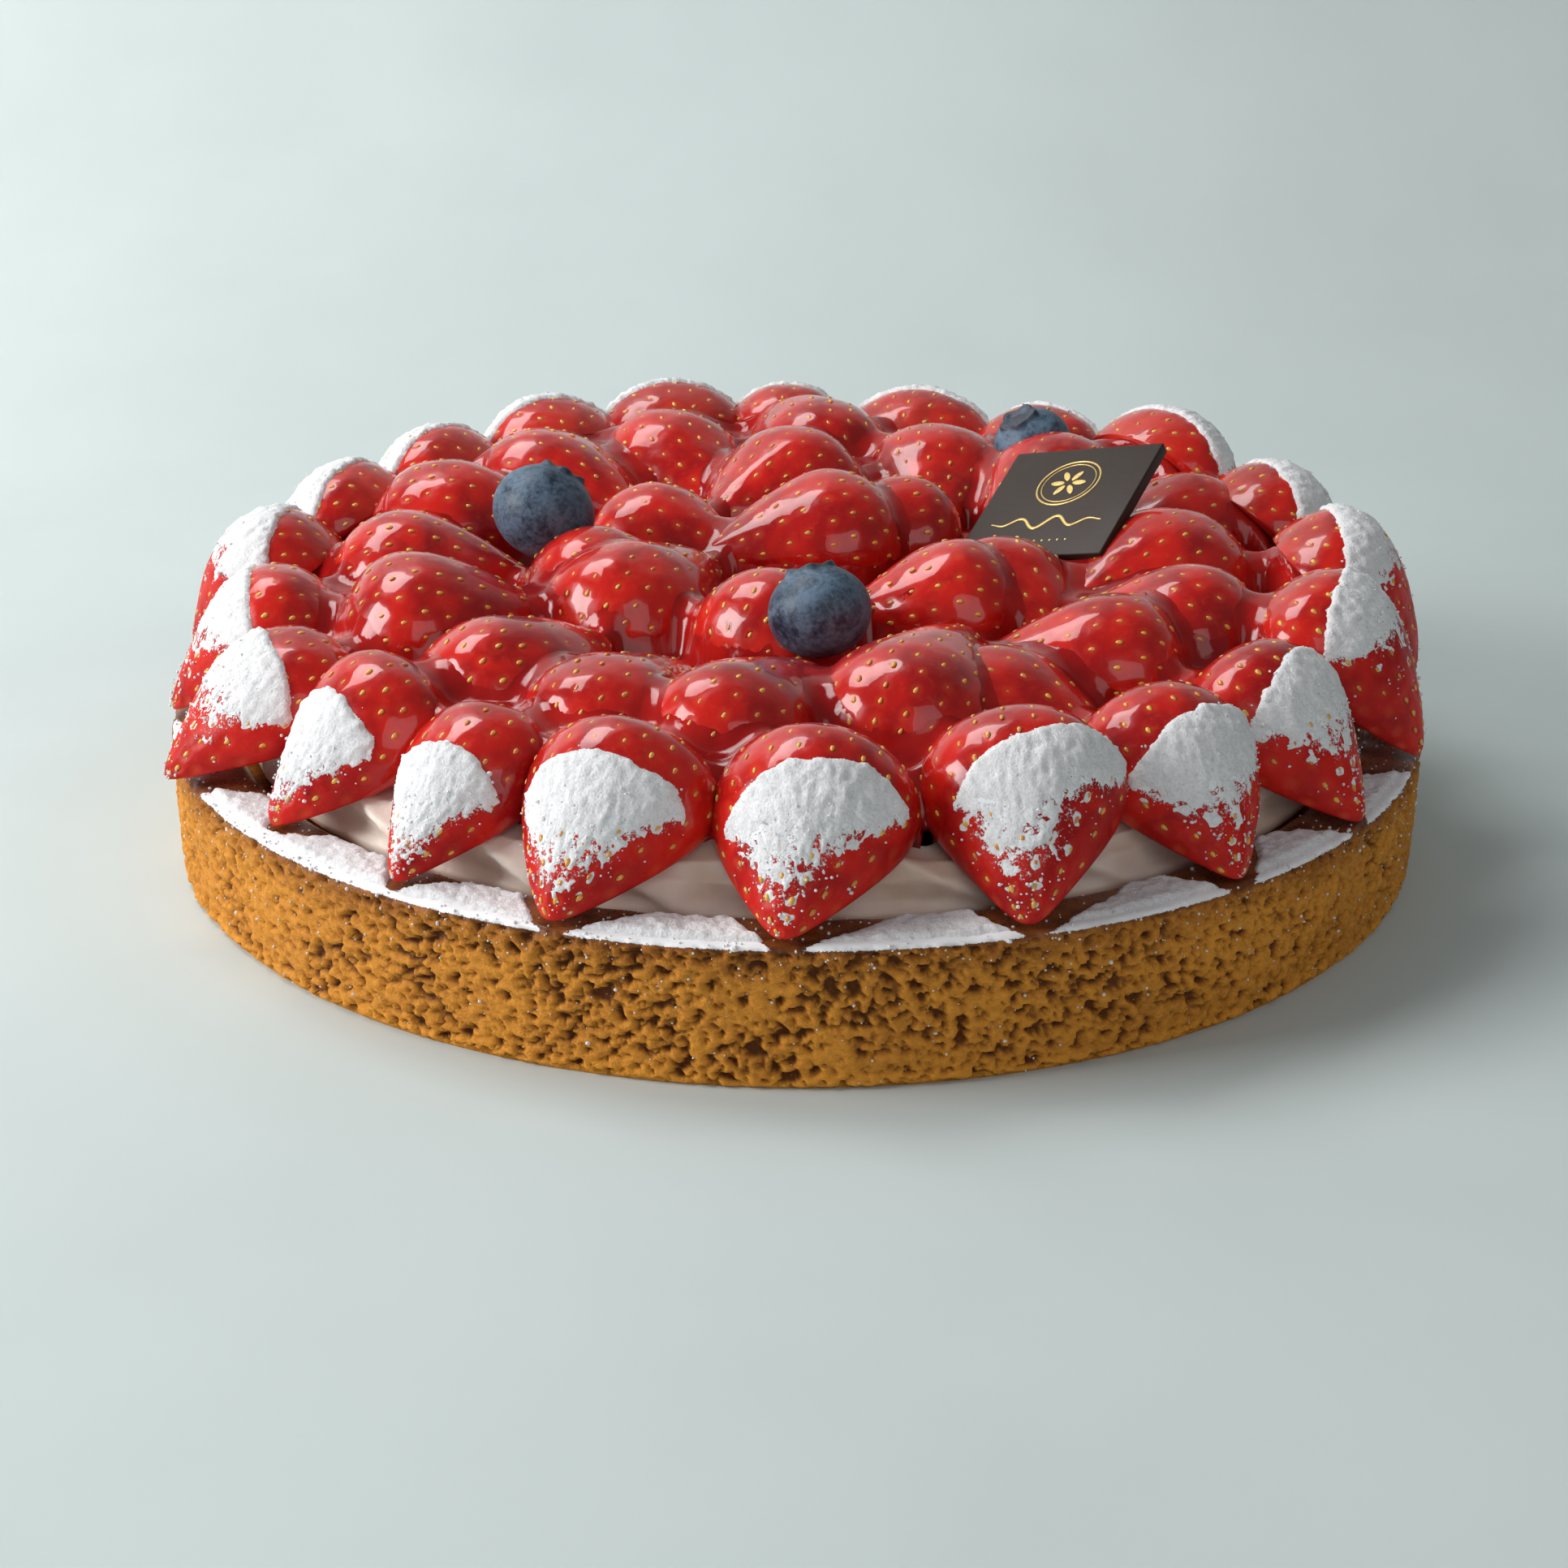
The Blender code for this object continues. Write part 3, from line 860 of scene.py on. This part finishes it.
class TART_OT_cream(bpy.types.Operator):
    """Whipped filling piped in leaning folds"""

    bl_idname = "tart.cream"
    bl_label = "Cream"

    def execute(self, context):
        settings = context.scene.tart_cream
        low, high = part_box("cream")
        radius = (high.x - low.x + high.y - low.y) / 4
        edge, top = CREAM_EDGE_HEIGHT, high.z - CREAM_TOP_DROP
        shoulder = radius - 14 * MM
        profile = fine(
            [(0.0, low.z + 0.3 * MM), (radius - 1.5 * MM, low.z + 0.3 * MM), (radius, low.z + 2.5 * MM), (radius, edge),
             (radius - 2.2 * MM, edge + 3.6 * MM), (shoulder, top - MM), (shoulder - 14 * MM, top), (0.0, top)],
            1.3 * MM,
        )
        piece = spun("cream_filling", profile, CREAM_STEPS_ROUND)
        mesh = piece.data
        points, normals = corners(mesh), outwards(mesh)
        around = np.hypot(points[:, 0], points[:, 1])
        turn = np.arctan2(points[:, 1], points[:, 0])
        rise = (points[:, 2] - low.z) / (top - low.z)
        phase = settings.folds * (turn + settings.twist * rise + 0.03 * lumps(points, 40 * MM, 1.0))
        fold = 1 - 2 * np.abs(np.sin(phase / 2)) ** 0.8
        ripple = 0.22 * np.cos(3 * phase)
        strength = soft(60 * MM, 96 * MM, around) * soft(low.z + MM, low.z + 4 * MM, points[:, 2])
        uneven = 0.25 * lumps(points, 11 * MM, 2.0)
        shift = settings.fold_depth * (0.5 * fold - 0.42 + 0.1 * ripple + uneven) * strength
        move_corners(mesh, points + normals * shift[:, None])
        blotches = soft(0.15, 0.75, lumps(points, 9 * MM, 12.0))
        store(mesh, "stain", blotches * soft(28 * MM, 34 * MM, points[:, 2]))
        cream_finish(settings).wear(piece)
        finished(piece, "cream", "cream")
        return {"FINISHED"}


class TART_OT_strawberries(bpy.types.Operator):
    """Half berries, each shaped to the solid that it stands for"""

    bl_idname = "tart.strawberries"
    bl_label = "Strawberries"

    def execute(self, context):
        settings = context.scene.tart_berry
        sugar = context.scene.tart_sugar
        start = half_sphere("half_ball", 168, 66)
        theta, phi = turns_of(corners(start.data))
        finish = strawberry_finish(settings, sugar)
        reach = context.scene.tart_glaze.reach
        for lie in berry_lies():
            piece = start.copy()
            piece.data = start.data.copy()
            piece.name = piece.data.name = lie.node.replace("strawberry", "berry")
            context.collection.objects.link(piece)
            mesh = piece.data
            points = lie.skin(theta, phi)
            height = (points - lie.middle) @ lie.up
            points += np.outer(0.45 * MM * lumps(points, 9 * MM, lie.number) * soft(0, 3 * MM, height), lie.up)
            move_corners(mesh, points)
            normals = outwards(mesh)
            hollow = np.zeros(len(points))
            for seed in lie.skin(*lie.seeds(settings.seed_spacing).T):
                near = np.linalg.norm(points - seed, axis=1) / settings.dimple_radius
                hollow = np.maximum(hollow, np.clip(1 - near * near, 0, 1) ** 1.5)
            beyond = beyond_shield(points, sugar)
            glazed = 1 - soft(-1.5 * MM, 3 * MM, beyond)
            sink = settings.dimple_depth * hollow * (1 - 0.72 * glazed) * soft(0, 1.5 * MM, height)
            move_corners(mesh, points - normals * sink[:, None])
            store(mesh, "dimple", hollow)
            store(mesh, "glazed", glazed)
            store(mesh, "shoulder", soft(2.4, 3.1, math.pi - theta))
            store(mesh, "sugar", sugar_cover(points, normals, sugar))
            finish.wear(piece)
            finished(piece, "strawberry", lie.node)
        bpy.data.objects.remove(start)
        return {"FINISHED"}


class TART_OT_seeds(bpy.types.Operator):
    """Seeds in rows over every half berry that shows"""

    bl_idname = "tart.seeds"
    bl_label = "Seeds"

    def execute(self, context):
        settings = context.scene.tart_berry
        sugar = context.scene.tart_sugar
        tops, reach = berry_tops()
        fresh()
        bpy.ops.mesh.primitive_uv_sphere_add(segments=7, ring_count=5, radius=0.5, rotation=(0, math.pi / 2, 0))
        seed = added("seed")
        shape = corners(seed.data)
        taper = 1 - 0.55 * shape[:, 0]
        shape *= np.array([settings.seed_length, settings.seed_width, SEED_THICKNESS])
        shape[:, 1] *= taper
        move_corners(seed.data, shape)
        places = []
        for lie in berry_lies():
            turns = lie.seeds(settings.seed_spacing)
            points = lie.skin(*turns.T)
            tips = lie.skin(turns[:, 0] + 0.02, turns[:, 1])
            sides = lie.skin(turns[:, 0], turns[:, 1] + 0.02)
            draw = np.random.default_rng(900 + lie.number)
            sunk = at_places(tops, reach, points) - points[:, 2] > HIDDEN_SEED_DEPTH
            bare = beyond_shield(points, sugar) > 0
            for point, tip, side, hidden, is_bare in zip(points, tips, sides, sunk, bare):
                forwards = Vector(tip - point).normalized()
                outward = forwards.cross(Vector(side - point)).normalized()
                if outward.dot(Vector(point - lie.middle)) < 0:
                    outward = -outward
                if hidden or outward.z < -0.55:
                    continue
                depth = BARE_SEED_DEPTH if is_bare else GLAZED_SEED_DEPTH
                size = draw.uniform(0.82, 1.12)
                across = outward.cross(forwards)
                place = Matrix((forwards * size, across * size, outward * size)).transposed().to_4x4()
                place.translation = Vector(point) - outward * depth
                places.append(place)
        piece = copies("seeds", seed, places)
        seed_finish(settings).wear(piece)
        finished(piece, "strawberry")
        return {"FINISHED"}


class TART_OT_glaze(bpy.types.Operator):
    """Clear red jelly that has run into the creases between the berries"""

    bl_idname = "tart.glaze"
    bl_label = "Glaze"

    def execute(self, context):
        settings = context.scene.tart_glaze
        tops, reach = berry_tops()
        tops = np.maximum(tops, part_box("cream")[1].z - GLAZE_FLOOR_DROP)
        cells = round(settings.fillet / HEIGHT_MAP_STEP)
        level = spread(spread(tops, cells, np.maximum), cells, np.minimum)
        level = blurred(level, 2) - settings.film
        steps = np.arange(-reach, reach + 1) * HEIGHT_MAP_STEP
        across, forwards = np.meshgrid(steps, steps, indexing="ij")
        around = np.hypot(across, forwards)
        level -= 9 * MM * soft(settings.reach - 8 * MM, settings.reach + 2 * MM, around)
        inside = around < settings.reach
        number = np.full(inside.shape, -1)
        number[inside] = np.arange(inside.sum())
        quads = np.stack([number[:-1, :-1], number[1:, :-1], number[1:, 1:], number[:-1, 1:]], -1).reshape(-1, 4)
        quads = quads[(quads >= 0).all(1)]
        points = np.stack([across[inside], forwards[inside], level[inside]], -1)
        piece = mesh_piece("glaze", points, quads.tolist())
        only(piece)
        bpy.ops.object.mode_set(mode="EDIT")
        bpy.ops.mesh.select_mode(type="VERT")
        bpy.ops.mesh.select_all(action="DESELECT")
        bpy.ops.mesh.select_non_manifold()
        bpy.ops.mesh.select_mode(type="EDGE")
        bpy.ops.mesh.extrude_edges_move(TRANSFORM_OT_translate={"value": (0, 0, -6 * MM)})
        bpy.ops.mesh.fill()
        bpy.ops.mesh.select_mode(type="VERT")
        bpy.ops.object.mode_set(mode="OBJECT")
        tidy(piece)
        glaze_finish(settings).wear(piece)
        finished(piece, "glaze")
        return {"FINISHED"}


class TART_OT_blueberries(bpy.types.Operator):
    """Blueberries with a dry crown and a waxy bloom"""

    bl_idname = "tart.blueberries"
    bl_label = "Blueberries"

    def execute(self, context):
        settings = context.scene.tart_blueberry
        finish = blueberry_finish(settings)
        for number, node in enumerate(sorted(n for n in frame["nodes"] if n.startswith("blueberry"))):
            low, high = (np.array(corner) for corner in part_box(node))
            middle = (low + high) / 2
            radius = (high - low).max() / 2
            solid = corners(frame["nodes"][node].data) - middle
            hollow = solid[np.argsort(np.linalg.norm(solid, axis=1))[:6]].mean(0)
            crown_way = Vector(hollow).normalized()
            fresh()
            bpy.ops.mesh.primitive_uv_sphere_add(segments=120, ring_count=76, radius=1.0)
            piece = added(node.replace("blueberry", "blue_fruit"))
            points = corners(piece.data)
            from_crown = np.arccos(np.clip(points[:, 2], -1, 1))
            turn = np.arctan2(points[:, 1], points[:, 0])
            ring = settings.crown_radius / radius
            sepal = 0.5 + 0.5 * np.cos(5 * turn + number)
            ring_at = ring * (1.0 + 0.16 * sepal)
            wall = np.exp(-(((from_crown - ring_at) / 0.075) ** 2))
            height = settings.crown_height / radius
            bowl = 1 - soft(0.55 * ring, 1.0 * ring, from_crown)
            size = 1 + height * wall * (0.35 + 0.65 * sepal) - 0.085 * bowl - 0.02 * soft(2.9, 3.14, from_crown)
            size += 0.012 * lumps(points, 0.6, 4 + number) + 0.02 * (bowl * lumps(points, 0.07, 9))
            points = points * size[:, None]
            points[:, 2] *= BLUEBERRY_FLATTENING
            turn_up = crown_way.to_track_quat("Z", "Y").to_matrix()
            move_corners(piece.data, points * radius @ np.array(turn_up).T + middle)
            store(piece.data, "crown", np.clip(wall * 0.9 + bowl * 0.8, 0, 1))
            finish.wear(piece)
            finished(piece, "blueberry", node)
        return {"FINISHED"}


class TART_OT_plaque(bpy.types.Operator):
    """Thin square of dark chocolate with a plain gold motif"""

    bl_idname = "tart.plaque"
    bl_label = "Plaque"

    def execute(self, context):
        settings = context.scene.tart_plaque
        node = frame["nodes"]["plaque"]
        piece = node.copy()
        piece.data = node.data.copy()
        piece.name = piece.data.name = "chocolate_square"
        for key in list(piece.keys()):
            del piece[key]
        piece.parent = None
        context.collection.objects.link(piece)
        tidy(piece, 0.02 * MM)
        bpy.ops.object.mode_set(mode="EDIT")
        bpy.ops.mesh.select_all(action="SELECT")
        bpy.ops.mesh.dissolve_limited(angle_limit=math.radians(2))
        bpy.ops.object.mode_set(mode="OBJECT")
        box_corners = corners(piece.data)
        middle = box_corners.mean(0)
        faces = sorted(piece.data.polygons, key=lambda p: -p.area)[:2]
        face = max(faces, key=lambda p: p.normal.z)
        outward = face.normal.copy()
        edges = [Vector(box_corners[b] - box_corners[a]) for a, b in face.edge_keys]
        edges += [-edge for edge in edges]
        upward = max(edges, key=lambda edge: edge.normalized().z)
        side = upward.length
        level = Vector(middle) + outward * (Vector(box_corners[face.vertices[0]]) - Vector(middle)).dot(outward)
        upward.normalize()
        rightward = upward.cross(outward)
        bevel = piece.modifiers.new("Worn edge", "BEVEL")
        bevel.width = settings.edge
        bevel.segments = 4
        bevel.limit_method = "ANGLE"
        only(piece)
        bpy.ops.object.modifier_apply(modifier=bevel.name)
        bpy.ops.object.shade_smooth_by_angle(angle=math.radians(35))
        chocolate_finish(settings).wear(piece)
        finished(piece, "dark_chocolate", "plaque", smooth=False)
        place = Matrix((rightward, upward, outward)).transposed().to_4x4()
        place.translation = level
        motif = self.motif(side, settings.print_depth)
        motif.data.transform(place)
        gold_finish(settings).wear(motif)
        finished(motif, "gold_print")
        return {"FINISHED"}

    def motif(self, side, depth):
        """Two rings round a flower of six petals, over a waved line and a row of dots, as one raised mesh."""
        parts = []
        for radius, thickness in ((0.200, 0.0075), (0.172, 0.0040)):
            fresh()
            bpy.ops.mesh.primitive_torus_add(
                major_radius=radius * side, minor_radius=thickness * side, major_segments=72, minor_segments=8,
                location=(0, 0.17 * side, 0),
            )
            parts.append(added("ring"))
        for k in range(6):
            turn = k * math.pi / 3
            fresh()
            bpy.ops.mesh.primitive_uv_sphere_add(
                segments=20, ring_count=10, radius=0.048 * side, scale=(1.0, 0.42, 1.0), rotation=(0, 0, turn),
                location=(0.072 * side * math.cos(turn), (0.17 + 0.072 * math.sin(turn)) * side, 0),
            )
            parts.append(added("petal"))
        for k in range(9):
            fresh()
            bpy.ops.mesh.primitive_uv_sphere_add(
                segments=12, ring_count=8, radius=0.0085 * side, location=((k - 4) * 0.052 * side, -0.36 * side, 0)
            )
            parts.append(added("dot"))
        line = bpy.data.curves.new("flourish", "CURVE")
        line.dimensions = "3D"
        line.bevel_depth = 0.012 * side
        line.bevel_resolution = 3
        line.use_fill_caps = True
        spline = line.splines.new("NURBS")
        count = 41
        spline.points.add(count - 1)
        for k, point in enumerate(spline.points):
            share = 2 * k / (count - 1) - 1
            swell = 0.055 * (1 - share * share)
            point.co = (0.37 * side * share, (-0.19 + swell * math.sin(9.4 * share)) * side, 0, 1)
            point.radius = 0.35 + 0.65 * (1 - share * share)
        spline.use_endpoint_u = True
        flourish = bpy.data.objects.new("flourish", line)
        bpy.context.collection.objects.link(flourish)
        only(flourish)
        bpy.ops.object.convert(target="MESH")
        parts.append(bpy.context.active_object)
        only(parts[0])
        for part in parts:
            part.select_set(True)
        bpy.ops.object.join()
        motif = bpy.context.active_object
        motif.name = motif.data.name = "gold_motif"
        points = corners(motif.data)
        points[:, 2] = np.sign(points[:, 2]) * np.minimum(abs(points[:, 2]) * 0.6, depth)
        move_corners(motif.data, points)
        return motif


class TART_OT_sugar(bpy.types.Operator):
    """Icing sugar: lumpy drifts on the berries and the rim, and loose grains"""

    bl_idname = "tart.sugar"
    bl_label = "Icing Sugar"

    def execute(self, context):
        settings = context.scene.tart_sugar
        finish = sugar_finish(settings)
        self.on_berries(settings, finish)
        self.on_rim(context, settings, finish)
        self.grains(settings, finish)
        return {"FINISHED"}

    def drift(self, name, points, faces, shift, normals, least):
        """A sheet that stands proud where shift is over zero and runs under the surface where it isn't."""
        faces = np.asarray(faces)
        kept = faces[(shift[faces] > least).any(1)]
        used, faces = np.unique(kept, return_inverse=True)
        return mesh_piece(name, (points + normals * shift[:, None])[used], faces.reshape(-1, 4).tolist())

    def closed(self, pieces, name, finish):
        """Joins the sheets, closes each along its hidden edge and finishes them as one piece."""
        only(pieces[0])
        for piece in pieces:
            piece.select_set(True)
        if len(pieces) > 1:
            bpy.ops.object.join()
        piece = bpy.context.active_object
        piece.name = piece.data.name = name
        tidy(piece)
        bpy.ops.object.mode_set(mode="EDIT")
        bpy.ops.mesh.select_all(action="SELECT")
        bpy.ops.mesh.fill_holes(sides=0)
        bpy.ops.object.mode_set(mode="OBJECT")
        finish.wear(piece)
        return finished(piece, "sugar")

    def on_berries(self, settings, finish):
        start = half_sphere("half_ball", 228, 92)
        theta, phi = turns_of(corners(start.data))
        quads = [tuple(p.vertices) for p in start.data.polygons if len(p.vertices) == 4]
        sheets = []
        for lie in berry_lies():
            points = lie.skin(theta, phi)
            beyond = np.hypot(points[:, 0], points[:, 1] + settings.shield_forward) - settings.shield_radius
            if beyond.max() < 1 * MM:
                continue
            height = (points - lie.middle) @ lie.up
            points += np.outer(0.45 * MM * lumps(points, 9 * MM, lie.number) * soft(0, 3 * MM, height), lie.up)
            move_corners(start.data, points)
            normals = outwards(start.data)
            near = beyond > -3 * MM
            cover = np.zeros(len(points))
            cover[near] = sugar_cover(points[near], normals[near], settings)
            bumps = np.zeros(len(points))
            bumps[near] = (
                0.70 * lumps(points[near], 1.6 * MM, 20.0)
                + 0.75 * lumps(points[near], 0.85 * MM, 21.0)
                + 0.40 * lumps(points[near], 3.6 * MM, 22.0)
            )
            shift = settings.depth * ((cover - 0.56) * 2.0 + 0.62 * bumps)
            shift[~near] = -settings.depth
            shift = np.clip(shift, -0.5 * MM, 1.3 * MM)
            if (shift > 0.05 * MM).sum() > 20:
                sheets.append(self.drift("drift", points, quads, shift, normals, -0.25 * MM))
        bpy.data.objects.remove(start)
        self.closed(sheets, "sugar_on_fruit", finish)

    def on_rim(self, context, settings, finish):
        crust = context.scene.tart_crust
        low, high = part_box("crust")
        radius = (high.x - low.x) / 2
        inner = radius - crust.rim_width - 0.5 * MM
        shell = bpy.data.objects["tart_shell"]
        turns, rings = 1500, 27
        angle = np.linspace(0, 2 * math.pi, turns, endpoint=False)
        outer = radius - 0.8 * MM
        across = np.linspace(inner, outer, rings)
        spots = np.stack(
            [np.outer(np.cos(angle), across), np.outer(np.sin(angle), across), np.zeros((turns, rings))], -1
        ).reshape(-1, 3)
        down = Vector((0, 0, -1))
        for spot in spots:
            hit, place, _, _ = shell.ray_cast(Vector((spot[0], spot[1], high.z + 3 * MM)), down)
            spot[2] = max(place.z, high.z - 1.2 * MM) if hit else high.z - 1.2 * MM
        tops, reach = berry_tops()
        covered = at_places(blurred((tops > 0.02) * 1.0, 3), reach, spots)
        ring = np.hypot(spots[:, 0], spots[:, 1])
        drifted = 0.5 + 0.5 * lumps(spots, 14 * MM, 30.0)
        rough = (
            0.5 * lumps(spots, 1.7 * MM, 31.0) + 0.5 * lumps(spots, 0.9 * MM, 32.0) + 0.4 * lumps(spots, 4 * MM, 33.0)
        )
        edge = 1 - soft(radius - 3.2 * MM, radius - 1.2 * MM, ring)
        lying = sugar_fall(spots, settings) * (1 - soft(0.25, 0.9, covered)) * (0.62 + 0.6 * drifted) * (0.2 + 0.8 * edge)
        shift = settings.rim_depth * ((lying * soft(inner, inner + 3 * MM, ring) - 0.50) * 1.35 + 0.40 * rough)
        shift = np.clip(shift, -0.6 * MM, 1.9 * MM)
        index = np.arange(turns * rings).reshape(turns, rings)
        ahead = np.roll(index, -1, 0)
        quads = np.stack([index[:, :-1], ahead[:, :-1], ahead[:, 1:], index[:, 1:]], -1).reshape(-1, 4)
        normals = np.tile((0.0, 0.0, 1.0), (len(spots), 1))
        sheet = self.drift("drift", spots, quads, shift, normals, -0.4 * MM)
        self.closed([sheet], "sugar_on_rim", finish)

    def grains(self, settings, finish):
        draw = np.random.default_rng(77)
        fresh()
        bpy.ops.mesh.primitive_ico_sphere_add(subdivisions=1, radius=1.0)
        grain = added("grain")
        spots = []
        for piece in list(bpy.data.objects):
            if not piece.name.startswith("berry_"):
                continue
            points, normals = corners(piece.data), outwards(piece.data)
            beyond = np.hypot(points[:, 0], points[:, 1] + settings.shield_forward) - settings.shield_radius
            chance = soft(-1.0 * MM, 1.5 * MM, beyond) * soft(-0.1, 0.5, normals[:, 2])
            chance = chance * (0.25 + 0.75 * (1 - soft(6 * MM, 20 * MM, beyond))) * 0.16
            chosen = draw.random(len(points)) < chance
            spots.append(points[chosen] + normals[chosen] * 0.1 * MM + draw.normal(0, 0.22 * MM, (chosen.sum(), 3)))
        shell = bpy.data.objects["tart_shell"]
        low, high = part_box("crust")
        stray = []
        for _ in range(1500):
            turn, height = draw.uniform(0, 2 * math.pi), high.z * draw.beta(1.6, 0.55)
            start = Vector((0.2 * math.cos(turn), 0.2 * math.sin(turn), height))
            hit, place, normal, _ = shell.ray_cast(start, Vector((-math.cos(turn), -math.sin(turn), 0)))
            if hit:
                stray.append(np.array(place + normal * 0.1 * MM))
        for _ in range(900):
            turn, ring = draw.uniform(0, 2 * math.pi), draw.uniform(high.x - 12 * MM, high.x - 0.5 * MM)
            hit, place, normal, _ = shell.ray_cast(
                Vector((ring * math.cos(turn), ring * math.sin(turn), 0.1)), Vector((0, 0, -1))
            )
            if hit:
                stray.append(np.array(place + normal * 0.1 * MM))
        spots = np.concatenate([*spots, np.array(stray)])
        sizes = settings.grain * draw.lognormal(-0.15, 0.38, len(spots))
        places = np.zeros((len(spots), 4, 4))
        for axis in range(3):
            places[:, axis, axis] = sizes * draw.uniform(0.7, 1.2, len(spots))
        places[:, :3, 3] = spots
        places[:, 3, 3] = 1
        piece = copies("sugar_grains", grain, places[:9800])
        finish.wear(piece)
        finished(piece, "sugar")


class TART_OT_stage(bpy.types.Operator):
    """Pale table and backdrop, soft lights and the camera"""

    bl_idname = "tart.stage"
    bl_label = "Stage"

    def execute(self, context):
        settings = context.scene.tart_stage
        fresh()
        bpy.ops.mesh.primitive_grid_add(x_subdivisions=4, y_subdivisions=160, size=2.0)
        sweep = added("table_and_backdrop")
        points = corners(sweep.data)
        run = (points[:, 1] + 1) * 2.6 - 2.6
        bend = np.clip((run - settings.sweep_start) / settings.sweep_radius, 0, math.pi / 2)
        rise = np.maximum(run - settings.sweep_start - settings.sweep_radius * math.pi / 2, 0)
        forwards = np.minimum(run, settings.sweep_start) + settings.sweep_radius * np.sin(bend)
        upwards = settings.sweep_radius * (1 - np.cos(bend)) + rise - 0.05 * MM
        move_corners(sweep.data, np.stack([points[:, 0] * 4.0, forwards, upwards], -1))
        stage_finish(settings).wear(sweep)
        only(sweep)
        bpy.ops.object.shade_smooth()
        self.lights(context, settings)
        self.camera(context, settings)
        return {"FINISHED"}

    def lights(self, context, settings):
        middle = Vector((0, 0, 0.04))
        for name, place, width, height, power in (
            ("window", (-0.95, -0.20, 0.46), 0.50, 0.50, settings.key_power),
            ("skylight", (-0.50, 0.42, 0.95), 0.70, 0.42, settings.sky_power),
            ("front", (0.35, -1.25, 0.75), 1.0, 0.9, settings.front_power),
        ):
            light = bpy.data.lights.new(name, "AREA")
            light.shape = "RECTANGLE"
            light.size, light.size_y, light.energy = width, height, power
            lamp = bpy.data.objects.new(name, light)
            lamp.location = place
            lamp.rotation_euler = (middle - Vector(place)).to_track_quat("-Z", "Y").to_euler()
            context.collection.objects.link(lamp)
        world = bpy.data.worlds.new("studio")
        world.use_nodes = True
        background = world.node_tree.nodes["Background"]
        background.inputs["Color"].default_value = (0.93, 0.97, 1.0, 1.0)
        background.inputs["Strength"].default_value = settings.fill
        context.scene.world = world
        context.scene.view_settings.view_transform = "Standard"

    def camera(self, context, settings):
        camera = bpy.data.cameras.new("camera")
        camera.lens, camera.sensor_width = settings.lens, 36.0
        camera.clip_start, camera.clip_end = 0.02, 30.0
        viewer = bpy.data.objects.new("camera", camera)
        pitch = settings.camera_pitch
        forwards = Vector((0, math.cos(pitch), -math.sin(pitch)))
        target = Vector((settings.camera_sideways, 0, settings.camera_target_height))
        rightward = Vector((1, 0, 0))
        place = Matrix((rightward, rightward.cross(forwards), -forwards)).transposed().to_4x4()
        place.translation = target - forwards * settings.camera_distance
        viewer.matrix_world = place @ Matrix.Rotation(settings.camera_roll, 4, "Z")
        context.collection.objects.link(viewer)
        context.scene.camera = viewer


class TART_PT_panel(bpy.types.Panel):
    """Lists the tart's pieces"""

    bl_label = "Strawberry Tart"
    bl_idname = "TART_PT_panel"
    bl_space_type = "VIEW_3D"
    bl_region_type = "UI"
    bl_category = "Tart"

    def draw(self, context):
        for operator in OPERATORS:
            self.layout.operator(operator.bl_idname)


SETTINGS = {
    "tart_crust": TartCrustSettings,
    "tart_cream": TartCreamSettings,
    "tart_berry": TartBerrySettings,
    "tart_glaze": TartGlazeSettings,
    "tart_sugar": TartSugarSettings,
    "tart_blueberry": TartBlueberrySettings,
    "tart_plaque": TartPlaqueSettings,
    "tart_stage": TartStageSettings,
}
OPERATORS = (
    TART_OT_strawberries,
    TART_OT_crust,
    TART_OT_cream,
    TART_OT_glaze,
    TART_OT_seeds,
    TART_OT_blueberries,
    TART_OT_plaque,
    TART_OT_sugar,
    TART_OT_stage,
)


def register():
    for group in SETTINGS.values():
        bpy.utils.register_class(group)
    for kind in (*OPERATORS, TART_PT_panel):
        bpy.utils.register_class(kind)
    for name, group in SETTINGS.items():
        setattr(bpy.types.Scene, name, bpy.props.PointerProperty(type=group))


def unregister():
    for name in SETTINGS:
        delattr(bpy.types.Scene, name)
    for kind in (TART_PT_panel, *reversed(OPERATORS)):
        bpy.utils.unregister_class(kind)
    for group in SETTINGS.values():
        bpy.utils.unregister_class(group)


def main():
    register()
    for operator in OPERATORS:
        getattr(bpy.ops.tart, operator.bl_idname.split(".")[1])()


if __name__ == "__main__":
    main()
